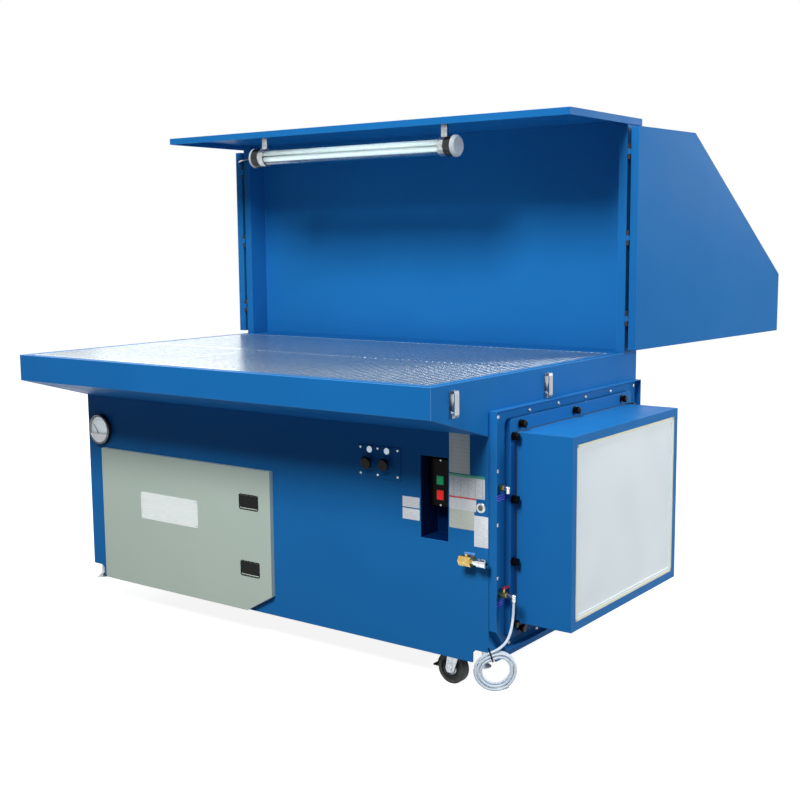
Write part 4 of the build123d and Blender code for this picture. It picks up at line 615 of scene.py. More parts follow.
def inlaid(name: str, base: Finish, inlays: Sequence[tuple[Finish, Place, Place]]) -> Finish:
    """Lays finishes into box-shaped parts of another.

    Args:
        name: the name of the whole.
        base: the finish outside the boxes.
        inlays: each finish, with the low and the high corner of its box.

    Returns:
        The whole finish.
    """
    for inlay, low, high in inlays:
        base = Inlaid(name, base.colour, base, inlay, low, high)
    return base


# Powder baked on sheet: an even satin colour, painted paler on edges as a highlight. The primer is duller and
# nearly plain
BLUE_COAT = PowderCoat("powder_coated_steel_blue", "#1E70B4", "#1C6CAF", "#4E97DA")
TRAY_COAT = PowderCoat("powder_coated_tray_blue", "#1B6FB5", "#196BB0", "#7DB9EC", edge_radius=3.5)
GREY_COAT = PowderCoat("powder_coated_steel_grey", "#C4D3C8", "#BFCFC3", "#E4EDE5")
PRIMER = PowderCoat("primed_steel_grey", "#3A4148", "#333A40", "#6A727A", 0.55)
# Zinc-dipped sheet: pale spangles with a soft metal shine
GALVANISED = GalvanisedSheet("galvanised_sheet_spangled")
GRATE_SHEET = GalvanisedSheet("galvanised_sheet_slotted", edge_radius=2.2)
# Brushed, plated and cast metals: from fine lines to a clean mirror, each a little dulled
STAINLESS = BrushedSteel("stainless_steel_brushed")
ZINC = PlatedMetal("zinc_plated_steel", "#C9CED0", "#8E9599", 0.3)
CHROME = PlatedMetal("chrome_plated_brass", "#E6E8EA", "#C2C6CA", 0.08)
NICKEL = PlatedMetal("nickel_plated_brass", "#D8D9D2", "#A9AAA2", 0.2)
BRASS = PlatedMetal("cast_brass", "#D9BE78", "#A98B45", 0.28)
# Moulded and dipped plastics: plain strong colours with soft highlights. The start and stop buttons get a faint
# painted glow
BLACK = MouldedPlastic("moulded_plastic_black", "#070808", "#0E0F10", 0.22, shine=0.12)
GREY = MouldedPlastic("moulded_plastic_grey", "#B9C2CB", "#98A2AC", 0.4)
GREEN = MouldedPlastic("moulded_plastic_green", "#27E08F", "#1FC97E", 0.3, shine=0.15, glow=0.12)
RED = MouldedPlastic("moulded_plastic_red", "#FF2E2A", "#F02520", 0.3, shine=0.15, glow=0.35)
HANDLE_BLUE = MouldedPlastic("dipped_vinyl_blue", "#5C9BE6", "#3F7CC8", 0.35)
HANDLE_RED = MouldedPlastic("dipped_vinyl_red", "#C8203A", "#9F1A2F", 0.35)
# Rubber swallows light, and clear plastics carry it
RUBBER = Rubber("moulded_rubber_black")
ACRYLIC = ClearPlastic("extruded_acrylic_clear", "#F3FAFB", "#E3F1F3", 0.05, 1.0, 1.49)
LENS = ClearPlastic("cast_acrylic_lens", "#FFFFFF", "#F4F8FA", 0.03, 1.0, 1.49)
SOFT_PVC = ClearPlastic("extruded_pvc_hose", "#DCE8F2", "#CBDBE9", 0.3, 0.22, 1.4)
# Filter fibre and paper: matt and nearly white
MEDIA = FibreMedia("nonwoven_filter_media")
CARTRIDGE = FibreMedia("pleated_filter_paper", "#E4E6E1", "#CFD3CE", 3.0)
# The lamp glows faintly, and its white reflector is glossier than the coats outside
OPAL = OpalGlass("coated_lamp_glass")
WHITE_SHEET = PowderCoat("enamelled_reflector_white", "#F1F8F8", "#E6F0F1", "#FFFFFF", 0.25)


def clear_bench() -> None:
    """Leaves nothing selected, so that the next operator acts on its own piece alone."""
    if bpy.context.object is not None and bpy.context.object.mode != "OBJECT":
        bpy.ops.object.mode_set(mode="OBJECT")
    bpy.ops.object.select_all(action="DESELECT")


class Shape:
    """A mesh that is modelled by hand: a primitive, shaped step by step in edit mode."""

    def __init__(self, name: str) -> None:
        """Takes the object that was just added.

        Args:
            name: the name that it gets.
        """
        self.object = bpy.context.active_object
        self.object.name = name
        self.object.data.name = name
        bpy.ops.object.mode_set(mode="EDIT")
        bpy.ops.mesh.select_all(action="SELECT")

    @classmethod
    def disc(cls, name: str, radius: float, sides: int = 32) -> "Shape":
        """Starts from a filled circle that looks up.

        Args:
            name: the piece's name.
            radius: its radius.
            sides: how many sides it has.

        Returns:
            The shape, with the disc selected.
        """
        clear_bench()
        bpy.ops.mesh.primitive_circle_add(vertices=sides, radius=radius * MM, fill_type="NGON")
        return cls(name)

    @classmethod
    def panel(cls, name: str, width: float, height: float, corner: float = 0.0) -> "Shape":
        """Starts from a flat panel with rounded corners that looks up.

        Args:
            name: the piece's name.
            width: its size along X.
            height: its size along Y.
            corner: the radius of its corners.

        Returns:
            The shape, with the panel selected.
        """
        clear_bench()
        bpy.ops.mesh.primitive_plane_add(size=1.0)
        shape = cls(name)
        bpy.ops.transform.resize(value=(width * MM, height * MM, 1.0))
        if corner:
            bpy.ops.mesh.bevel(offset=corner * MM, segments=5, affect="VERTICES")
            bpy.ops.mesh.select_all(action="SELECT")
        return shape

    def lift(self, rise: float, scale: float = 1.0, level: float = 0.0) -> "Shape":
        """Extrudes what is selected upwards, and draws its end in or out.

        Args:
            rise: how far it goes up.
            scale: how much wider its end is.
            level: the height that it is scaled at.

        Returns:
            The shape.
        """
        bpy.ops.mesh.extrude_region_move(TRANSFORM_OT_translate={"value": (0.0, 0.0, rise * MM)})
        if scale != 1.0:
            bpy.ops.transform.resize(value=(scale, scale, 1.0), center_override=(0.0, 0.0, level * MM))
        return self

    def turned(self, radius: float, steps: Sequence[tuple[float, float]]) -> "Shape":
        """Builds a turned form on the disc, ring by ring.

        Args:
            radius: the disc's radius.
            steps: the radius and the height of each ring, from the disc on.

        Returns:
            The shape.
        """
        level = 0.0
        for wide, high in steps:
            self.lift(high - level, wide / radius, high)
            radius, level = wide, high
        return self

    def inset(self, width: float) -> "Shape":
        """Draws an inner outline in what is selected.

        Args:
            width: the distance between the outlines.

        Returns:
            The shape, with the inner face selected.
        """
        bpy.ops.mesh.inset(thickness=width * MM)
        return self

    def soften(self, width: float) -> "Shape":
        """Rounds the edges of what is selected, in two strips.

        Args:
            width: the width of the rounding.

        Returns:
            The shape.
        """
        bpy.ops.mesh.bevel(offset=width * MM, segments=2, affect="EDGES")
        return self

    def opened(self) -> "Shape":
        """Takes out the selected face and selects what is left."""
        bpy.ops.mesh.delete(type="FACE")
        bpy.ops.mesh.select_all(action="SELECT")
        return self

    def pick(self, test: Callable[[Vector, Vector], bool]) -> "Shape":
        """Selects faces by their place and normal.

        Args:
            test: says whether a face with this middle and normal is taken.

        Returns:
            The shape.
        """
        bpy.ops.mesh.select_all(action="DESELECT")
        mesh = bmesh.from_edit_mesh(self.object.data)
        for face in mesh.faces:
            face.select_set(test(face.calc_center_median(), face.normal))
        bmesh.update_edit_mesh(self.object.data)
        return self

    def done(self, smooth: bool = True) -> bpy.types.Object:
        """Merges doubles, turns the faces outwards and leaves edit mode.

        Args:
            smooth: whether gentle edges are shaded smooth.

        Returns:
            The finished object.
        """
        bpy.ops.mesh.select_all(action="SELECT")
        bpy.ops.mesh.remove_doubles(threshold=1e-6)
        bpy.ops.mesh.normals_make_consistent(inside=False)
        bpy.ops.object.mode_set(mode="OBJECT")
        if smooth:
            bpy.ops.object.shade_smooth_by_angle(angle=math.radians(40))
        return self.object


def facing_matrix(place: Vector, facing: Facing, spin: float = 0.0) -> Matrix:
    """Gives the move that seats a piece modelled looking up.

    Args:
        place: the point that its middle goes to.
        facing: the way that its top then looks.
        spin: how far it is turned about that way, in degrees.

    Returns:
        The matrix.
    """
    turn = Vector(facing.value).to_track_quat("Z", "Y").to_matrix().to_4x4()
    return Matrix.Translation(place) @ turn @ Matrix.Rotation(math.radians(spin), 4, "Z")


def seat(
    piece: bpy.types.Object, move: Matrix, finish: Finish, body: Body = Body.TABLE, slot: Optional[Slot] = None
) -> None:
    """Seats a modelled piece, dresses it and lets it ride on its body.

    Args:
        piece: the object, still at the origin.
        move: where its mesh goes.
        finish: its finish.
        body: the body that it rides on.
        slot: the record's slot; it is not used.
    """
    piece.data.transform(move)
    piece.data.update()
    piece.data.materials.clear()
    piece.data.materials.append(finish.material())
    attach(piece, body.value)


def seat_copies(
    model: bpy.types.Object, moves: Sequence[Matrix], finish: Finish, body: Body = Body.TABLE,
    slot: Optional[Slot] = None,
) -> None:
    """Seats a copy of a piece at each place, each with its own mesh, and takes the first model away.

    Args:
        model: the piece that was modelled.
        moves: where each copy goes.
        finish: the finish of all.
        body: the body that they ride on.
        slot: the record's slot of all.
    """
    stem = model.name
    for number, move in enumerate(moves, 1):
        copy = model.copy()
        copy.data = model.data.copy()
        copy.name = f"{stem}_{number}"
        bpy.context.scene.collection.objects.link(copy)
        seat(copy, move, finish, body, slot)
    bpy.data.objects.remove(model)


def dress(finish: Finish, *nodes: str) -> None:
    """Gives CAD nodes their finish.

    Args:
        finish: the finish.
        nodes: the names of the nodes.
    """
    for name in nodes:
        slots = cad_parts[name].data.materials
        slots.clear()
        slots.append(finish.material())
    LOG.info("%s on %s", finish.name, ", ".join(nodes))


def middle_of(node: str) -> Vector:
    """Gives the middle of a CAD node's box."""
    low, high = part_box(node)
    return (low + high) / 2


def rim_model(
    name: str, node: str, facing: Facing, stand_off: float, wall: float, corner: float, rise: float
) -> Shape:
    """Models a flat rim that follows the box of a CAD node, looking up.

    Args:
        name: the piece's name.
        node: the node.
        facing: the way that the rim will look, to the front or to the right.
        stand_off: how far its outline lies outside the box, or inside where it is negative.
        wall: how wide the rim is.
        corner: the radius of its corners.
        rise: how high it stands.

    Returns:
        The shape, with its top selected.
    """
    low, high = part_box(node)
    across = high.y - low.y if facing is Facing.RIGHT else high.x - low.x
    width, height = across / MM + stand_off * 2, (high.z - low.z) / MM + stand_off * 2
    return Shape.panel(name, width, height, corner).inset(wall).opened().lift(rise)


def screw_model(name: str, radius: float, height: float) -> bpy.types.Object:
    """Models a button-head screw with a round socket.

    Args:
        name: the piece's name.
        radius: the head's radius.
        height: the head's height.

    Returns:
        The object, seated face down on the origin.
    """
    shape = Shape.disc(name, radius, SCREW_SIDES)
    crown = [(radius, height * 0.3), (radius * 0.86, height * 0.75), (radius * 0.5, height)]
    shape.turned(radius, crown)
    shape.lift(0.0, 0.8, height).lift(-height * 0.5)
    return shape.done()


@dataclass
class Tray:
    """Overhanging tray with its slotted grates."""

    def build(self) -> None:
        """Dresses the tray and its grates."""
        dress(TRAY_COAT, "tray_shell")
        dress(GRATE_SHEET, "work_grates")


@dataclass
class Card:
    """A plain card on the front panel: its place, size and ruled print."""

    name: str
    left: float
    right: float
    bottom: float
    top: float
    finish: Finish
    layer: int = 1


@dataclass
class Cabinet:
    """Filter cabinet with its door, cards and the parts inside."""

    panel_front: float = 300.0
    card_thickness: float = 0.4
    card_corner: float = 1.5
    plate_left: float = 306.0
    plate_right: float = 606.0
    plate_bottom: float = 367.0
    plate_top: float = 469.0
    plate_thickness: float = 1.2
    plate_corner: float = 9.0
    plate_lip: float = 4.0
    rivet_radius: float = 3.0
    rivet_height: float = 1.6
    rivet_inset: float = 8.0
    paddle_border: float = 4.0
    paddle_border_wall: float = 3.4
    paddle_border_height: float = 1.6
    paddle_border_corner: float = 7.0
    plug_x: float = 1803.0
    plug_z: float = 592.0
    plug_radius: float = 16.0

    def build(self) -> None:
        """Dresses the cabinet and adds its cards, the door's blank plate and the paddle borders."""
        dress(BLUE_COAT, "front_panel", "cabinet_wrap")
        dress(PRIMER, "base_frame", "air_tank", "blower", "impeller")
        dress(GALVANISED, "inner_partitions", "dust_tray")
        dress(CARTRIDGE, "filter_cartridges")
        dress(GREY_COAT, "door")
        dress(BLACK, "door_paddle_upper", "door_paddle_lower")
        self.add_cards()
        self.add_door_plate()
        self.add_paddle_borders()
        self.add_plug()

    def add_cards(self) -> None:
        """Adds the blank cards beside the switch recess."""
        white = RuledCard("coated_card_white", "#F4F8FB", "#9AA5AE")
        columns = RuledCard("coated_card_columns", "#EDF3F6", "#8C989F", 4.0, 0.6, 26.0)
        silver = RuledCard("printed_aluminium_plate", "#C9D0CB", "#9AA29E", 12.0, 0.35, 68.0)
        cream = RuledCard("coated_card_cream", "#CDD3C9", "#9EA59C", 4.0, 0.5)
        green = RuledCard("printed_band_green", "#2E9F7F", "#5CAA98", 20.0, 0.3)
        red = RuledCard("printed_band_red", "#D8414B", "#E97C82", 20.0, 0.3)
        cards = [
            Card("card_small_upper", 1510, 1576, 561, 595, white),
            Card("card_small_lower", 1510, 1576, 522, 557, white),
            Card("card_plate", 1688, 1763, 690, 822, silver),
            Card("card_table", 1688, 1817, 618, 688, columns),
            Card("card_table_head", 1688, 1817, 680, 688, green, 2),
            Card("card_list", 1688, 1786, 577, 618, white),
            Card("card_list_head", 1688, 1786, 613, 618, red, 2),
            Card("card_note", 1688, 1779, 518, 577, cream),
            Card("card_tall", 1779, 1829, 470, 566, white, 2),
        ]
        for card in cards:
            shape = Shape.panel(card.name, card.right - card.left, card.top - card.bottom, self.card_corner)
            shape.lift(self.card_thickness * card.layer).soften(self.card_thickness / 3)
            place = at((card.left + card.right) / 2, self.panel_front, (card.bottom + card.top) / 2)
            seat(shape.done(), facing_matrix(place, Facing.FRONT), card.finish)
        LOG.info("%d cards on the front panel", len(cards))

    def add_door_plate(self) -> None:
        """Adds the blank plate on the door and its four rivets."""
        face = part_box("door")[0].y
        width, height = self.plate_right - self.plate_left, self.plate_top - self.plate_bottom
        shape = Shape.panel("door_plate", width, height, self.plate_corner)
        shape.lift(self.plate_thickness).inset(self.plate_lip).lift(-self.plate_thickness / 3)
        middle = at((self.plate_left + self.plate_right) / 2, 0.0, (self.plate_bottom + self.plate_top) / 2)
        middle.y = face
        plate_finish = BrushedSteel("brushed_aluminium_plate", "#CBD0CE", "#A5ABA9", 0.34, 0.8, (40.0, 1.0, 1.0))
        seat(shape.done(), facing_matrix(middle, Facing.FRONT), plate_finish, Body.DOOR, Slot.STAINLESS)
        moves = []
        for side in (-1, 1):
            for level in (-1, 1):
                across = side * (width / 2 - self.rivet_inset) * MM
                up = level * (height / 2 - self.rivet_inset) * MM
                place = middle + Vector((across, -self.plate_thickness * MM * 2 / 3, up))
                moves.append(facing_matrix(place, Facing.FRONT))
        rivet = screw_model("door_plate_rivet", self.rivet_radius, self.rivet_height)
        seat_copies(rivet, moves, ZINC, Body.DOOR, Slot.ZINC)
        LOG.info("door plate with %d rivets", len(moves))

    def add_paddle_borders(self) -> None:
        """Adds the thin border round each paddle latch."""
        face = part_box("door")[0].y
        shape = rim_model(
            "paddle_border", "door_paddle_upper", Facing.FRONT, self.paddle_border, self.paddle_border_wall,
            self.paddle_border_corner, self.paddle_border_height,
        )
        moves = []
        for paddle in ("door_paddle_upper", "door_paddle_lower"):
            middle = middle_of(paddle)
            middle.y = face
            moves.append(facing_matrix(middle, Facing.FRONT))
        seat_copies(shape.done(), moves, BLACK, Body.DOOR, Slot.BLACK)
        LOG.info("paddle borders")

    def add_plug(self) -> None:
        """Adds the stepped metal plug near the panel's right edge."""
        radius = self.plug_radius
        shape = Shape.disc("panel_plug", radius)
        shape.turned(radius, [(radius, 1.5), (radius * 0.9, 3.0), (radius * 0.62, 3.2)])
        shape.lift(0.0, 0.9, 3.2).lift(-2.0)
        place = at(self.plug_x, self.panel_front, self.plug_z)
        move = facing_matrix(place, Facing.FRONT)
        seat(shape.done(), move, ZINC, slot=Slot.ZINC)
        core = Shape.disc("panel_plug_core", radius * 0.56)
        core.turned(radius * 0.56, [(radius * 0.56, 1.9), (radius * 0.4, 2.5), (radius * 0.16, 2.0)])
        bronze = PlatedMetal("oiled_bronze", "#6E6A58", "#45423A", 0.45, 5.0)
        seat(core.done(), move, bronze, slot=Slot.ZINC)


@dataclass
class Gauge:
    """Round pressure gauge: ring, dial with plain numbers, lens and lower cover."""

    centre_x: float = 78.0
    centre_z: float = 683.0
    pivot_z: float = 657.0
    case_front: float = 282.0
    dial_y: float = 291.0
    ring_radius: float = 52.5
    ring_width: float = 4.5
    dial_radius: float = 49.8
    tick_count: int = 21
    tick_span: float = 76.0
    tick_radius: float = 60.0
    long_mark: tuple[float, float] = (1.1, 7.0)
    short_mark: tuple[float, float] = (0.7, 4.0)
    mark_height: float = 0.1
    dial_sheet: float = 0.2
    ring_set_back: float = 2.5
    ring_flat: float = 0.4
    cover_top: float = -15.0
    cover_sheet: float = 0.5
    lens_set_out: float = 0.7
    number_radius: float = 50.0
    number_size: float = 9.0
    number_step: int = 5

    def build(self) -> None:
        """Dresses the gauge and adds its fine pieces."""
        dress(PRIMER, "gauge_case")
        dress(BLACK, "gauge_needle")
        self.add_ring()
        self.add_dial()
        self.add_scale()
        self.add_cover_and_lens()
        LOG.info("gauge dial with %d marks", self.tick_count)

    def point(self, y: float, z: float) -> Vector:
        """Gives a point on the gauge's middle line."""
        return at(self.centre_x, y, z)

    def add_ring(self) -> None:
        """Adds the polished ring round the lens."""
        clear_bench()
        bpy.ops.mesh.primitive_torus_add(
            major_segments=64, minor_segments=14,
            major_radius=self.ring_radius * MM, minor_radius=self.ring_width * MM,
        )
        shape = Shape("gauge_ring")
        shape.pick(lambda middle, normal: normal.z < -0.2)
        bpy.ops.transform.resize(value=(1.0, 1.0, self.ring_flat), center_override=(0.0, 0.0, 0.0))
        place = self.point(self.case_front + self.ring_set_back, self.centre_z)
        rim = PlatedMetal("die_cast_rim_dark", "#5E6468", "#3C4144", 0.3)
        seat(shape.done(), facing_matrix(place, Facing.FRONT), rim, slot=Slot.STAINLESS)

    def add_dial(self) -> None:
        """Adds the white dial plate."""
        shape = Shape.disc("gauge_dial", self.dial_radius, DIAL_SIDES).lift(self.dial_sheet)
        paint = MouldedPlastic("printed_dial_white", "#E6F2F6", "#D8E8EE", 0.5, shine=0.2)
        place = self.point(self.dial_y, self.centre_z)
        seat(shape.done(), facing_matrix(place, Facing.FRONT), paint)

    def add_scale(self) -> None:
        """Adds the scale's marks and plain numbers."""
        ink = MouldedPlastic("screen_print_ink", "#2C3237", "#3A4147", 0.5)
        marks = []
        for number in range(self.tick_count):
            turn = -self.tick_span / 2 + self.tick_span * number / (self.tick_count - 1)
            is_long = number % self.number_step == 0
            width, length = self.long_mark if is_long else self.short_mark
            mark = Shape.panel(f"gauge_mark_{number}", width, length).lift(self.mark_height).done(False)
            out = Matrix.Translation((0.0, (self.tick_radius + length / 2) * MM, 0.0))
            mark.data.transform(Matrix.Rotation(math.radians(-turn), 4, "Z") @ out)
            marks.append(mark)
            if is_long:
                marks.append(self.number(number // self.number_step, turn))
        clear_bench()
        for mark in marks:
            mark.select_set(True)
        bpy.context.view_layer.objects.active = marks[0]
        bpy.ops.object.join()
        scale = bpy.context.active_object
        scale.name = "gauge_scale"
        seat(scale, facing_matrix(self.point(self.dial_y - self.dial_sheet, self.pivot_z), Facing.FRONT), ink)

    def number(self, value: int, turn: float) -> bpy.types.Object:
        """Makes one number of the scale.

        Args:
            value: the number.
            turn: its angle from the top, in degrees.

        Returns:
            The number as a mesh, placed round the pivot.
        """
        clear_bench()
        bpy.ops.object.text_add()
        text = bpy.context.active_object
        text.data.body = str(value)
        text.data.size = self.number_size * MM
        text.data.align_x = "CENTER"
        text.data.align_y = "CENTER"
        text.data.extrude = self.mark_height / 2 * MM
        bpy.ops.object.convert(target="MESH")
        made = bpy.context.active_object
        radius = self.number_radius * MM
        angle = math.radians(turn)
        made.data.transform(Matrix.Translation((radius * math.sin(angle), radius * math.cos(angle), 0.0)))
        return made

    def add_cover_and_lens(self) -> None:
        """Adds the grey cover over the pivot and the clear lens."""
        shape = Shape.disc("gauge_cover", self.dial_radius, DIAL_SIDES)
        bpy.ops.mesh.bisect(
            plane_co=(0.0, self.cover_top * MM, 0.0), plane_no=(0.0, 1.0, 0.0), clear_outer=True, use_fill=False
        )
        bpy.ops.mesh.select_all(action="SELECT")
        shape.lift(self.cover_sheet)
        place = self.point(self.case_front, self.centre_z)
        cover = MouldedPlastic("moulded_cover_grey", "#C6C4C9", "#B4B2B8", 0.3, shine=0.3)
        seat(shape.done(), facing_matrix(place, Facing.FRONT), cover)
        radius = self.dial_radius
        lens = Shape.disc("gauge_lens", radius, DIAL_SIDES)
        lens.turned(radius, [(radius, 0.6), (radius * 0.8, 1.2), (radius * 0.4, 1.6)])
        place = self.point(self.case_front - self.lens_set_out, self.centre_z)
        seat(lens.done(), facing_matrix(place, Facing.FRONT), LENS, slot=Slot.CLEAR)


@dataclass
class Controls:
    """Pulse-air plate with its knobs and lamps, and the motor starter in its recess."""

    plate_face: float = 297.0
    screw_radius: float = 4.4
    screw_height: float = 2.6
    screw_xs: tuple[float, ...] = (1346.0, 1415.0, 1494.0)
    screw_zs: tuple[float, ...] = (737.0, 652.0)
    lamp_xs: tuple[float, ...] = (1384.5, 1453.5)
    lamp_z: float = 732.0
    lamp_radius: float = 11.0
    starter_low: Place = (1588.0, 334.0, 564.0)
    starter_high: Place = (1676.0, 397.5, 724.0)
    starter_face: float = 335.0
    starter_screw_inset: float = 9.0
    starter_screw_radius: float = 3.6
    starter_screw_height: float = 1.8
    bezel_border: float = 3.5
    bezel_wall: float = 2.8
    bezel_height: float = 2.5
    bezel_corner: float = 2.5

    def build(self) -> None:
        """Dresses the controls and adds screws, lamp lenses and button bezels."""
        dress(BLUE_COAT, "control_plate")
        dress(BLACK, "pulse_button_left", "pulse_button_right")
        # The recess pan is blue paint, darkened here to near black as painted shade for the deep recess
        pan = PowderCoat("powder_coated_steel_blue_painted_shade", "#06295F", "#05265A", "#1F4F95")
        dress(inlaid("recess_pan_and_starter", pan, [(BLACK, self.starter_low, self.starter_high)]), "starter_box")
        # The start and stop buttons' faint glow is painted light that lifts them out of the recess shade
        dress(GREEN, "start_button")
        dress(RED, "stop_button")
        self.add_screws()
        self.add_lamps()
        self.add_button_bezels()

    def add_screws(self) -> None:
        """Adds the plate's screws and the starter's two cover screws."""
        moves = [
            facing_matrix(at(x, self.plate_face, z), Facing.FRONT) for x in self.screw_xs for z in self.screw_zs
        ]
        seat_copies(screw_model("control_screw", self.screw_radius, self.screw_height), moves, ZINC, slot=Slot.ZINC)
        middle_x = (self.starter_low[0] + self.starter_high[0]) / 2
        levels = (self.starter_low[2] + self.starter_screw_inset, self.starter_high[2] - self.starter_screw_inset)
        moves = [facing_matrix(at(middle_x, self.starter_face, z), Facing.FRONT) for z in levels]
        screw = screw_model("starter_screw", self.starter_screw_radius, self.starter_screw_height)
        seat_copies(screw, moves, ZINC, slot=Slot.ZINC)
        LOG.info("control and starter screws")

    def add_lamps(self) -> None:
        """Adds the two frosted lamp lenses."""
        radius = self.lamp_radius
        shape = Shape.disc("pilot_lens", radius, SMALL_SIDES)
        shape.turned(radius, [(radius, 3.0), (radius * 0.92, 4.8), (radius * 0.6, 6.0), (radius * 0.25, 6.4)])
        frosted = MouldedPlastic("frosted_polycarbonate", "#E2F2F8", "#CFE2EC", 0.3, glow=0.45)
        moves = [facing_matrix(at(x, self.plate_face, self.lamp_z), Facing.FRONT) for x in self.lamp_xs]
        seat_copies(shape.done(), moves, frosted)
        LOG.info("pilot lenses")

    def add_button_bezels(self) -> None:
        """Adds the raised border round the starter's buttons."""
        for name in ("start_button", "stop_button"):
            shape = rim_model(
                name + "_bezel", name, Facing.FRONT, self.bezel_border, self.bezel_wall, self.bezel_corner,
                self.bezel_height,
            )
            middle = middle_of(name)
            middle.y = at(0.0, self.starter_face, 0.0).y
            seat(shape.done(), facing_matrix(middle, Facing.FRONT), BLACK, slot=Slot.BLACK)


@dataclass
class Upstand:
    """Backsplash, canopy, side wings and their hinges."""

    def build(self) -> None:
        """Dresses the upstand."""
        dress(BLUE_COAT, "backsplash", "canopy", "wing_left", "wing_right")
        dress(PRIMER, "wing_hinge_posts")
        latches = [f"draw_latch_{end}_{side}" for end in ("front", "rear") for side in ("left", "right")]
        dress(STAINLESS, "draw_latch_bases", *latches)


@dataclass
class WorkLight:
    """Enclosed lamp under the canopy: clear tube, reflector and lamp."""

    centre_y: float = 820.0
    centre_z: float = 1715.0
    left: float = 420.0
    right: float = 1379.0
    cap_length: float = 46.0
    cap_rim: float = 15.0
    reflector_radius: float = 25.5
    reflector_sheet: float = 1.0
    reflector_cut: float = 4.0
    lamp_radius: float = 9.0
    lamp_drop: float = 7.0
    pin_cap: float = 24.0
    lamp_reach: float = 12.0
    cap_play: float = 5.0
    hanger_reach: float = 120.0
    hanger_front: float = 60.0
    hanger_back: float = 480.0

    def build(self) -> None:
        """Dresses the light and adds what shows through its tube."""
        dress(ACRYLIC, "work_light_tube")
        low, high = self.centre_z - self.hanger_reach, self.centre_z + self.hanger_reach
        near, far = self.centre_y - self.hanger_front, self.centre_y + self.hanger_back
        bands = (
            (0.0, self.left, BLACK),
            (self.left, self.left + self.cap_rim, GREY),
            (self.left + self.cap_rim, self.left + self.cap_length, BLACK),
            (self.right - self.cap_length, self.right - self.cap_rim, BLACK),
            (self.right - self.cap_rim, self.right + self.cap_play, GREY),
        )
        inlays = [(finish, (start, near, low), (end, far, high)) for start, end, finish in bands]
        dress(inlaid("lamp_caps_and_hangers", ZINC, inlays), "work_light_mounts")
        self.add_reflector()
        self.add_lamp()

    def add_reflector(self) -> None:
        """Adds the white half-round reflector above the lamp."""
        start, end = self.left + self.cap_length, self.right - self.cap_length
        clear_bench()
        bpy.ops.mesh.primitive_cylinder_add(
            vertices=48, radius=self.reflector_radius * MM, depth=(end - start) * MM, end_fill_type="NOTHING"
        )
        shape = Shape("lamp_reflector")
        bpy.ops.mesh.bisect(
            plane_co=(0.0, self.reflector_cut * MM, 0.0), plane_no=(0.0, 1.0, 0.0), clear_inner=True, use_fill=False
        )
        piece = shape.done()
        wall = piece.modifiers.new("wall", "SOLIDIFY")
        wall.thickness = self.reflector_sheet * MM
        wall.offset = -1.0
        bpy.ops.object.modifier_apply(modifier="wall")
        place = at((start + end) / 2, self.centre_y, self.centre_z)
        seat(piece, facing_matrix(place, Facing.RIGHT), WHITE_SHEET)
        LOG.info("reflector")

    def add_lamp(self) -> None:
        """Adds the lamp with its end caps."""
        start, end = self.left + self.cap_length - self.lamp_reach, self.right - self.cap_length + self.lamp_reach
        length = end - start
        radius = self.lamp_radius
        shape = Shape.disc("lamp_glass", radius, SMALL_SIDES)
        shape.turned(radius, [(radius, length)])
        place = at(start, self.centre_y, self.centre_z - self.lamp_drop)
        seat(shape.done(), facing_matrix(place, Facing.RIGHT), OPAL)
        cap = Shape.disc("lamp_end", radius + 0.6, SMALL_SIDES)
        cap.turned(radius + 0.6, [(radius + 0.6, self.pin_cap - 2.0), (radius - 0.6, self.pin_cap)])
        ends = [facing_matrix(place, Facing.RIGHT)]
        other = at(end, self.centre_y, self.centre_z - self.lamp_drop)
        ends.append(facing_matrix(other, Facing.LEFT))
        seat_copies(cap.done(), ends, CHROME)
        LOG.info("lamp")


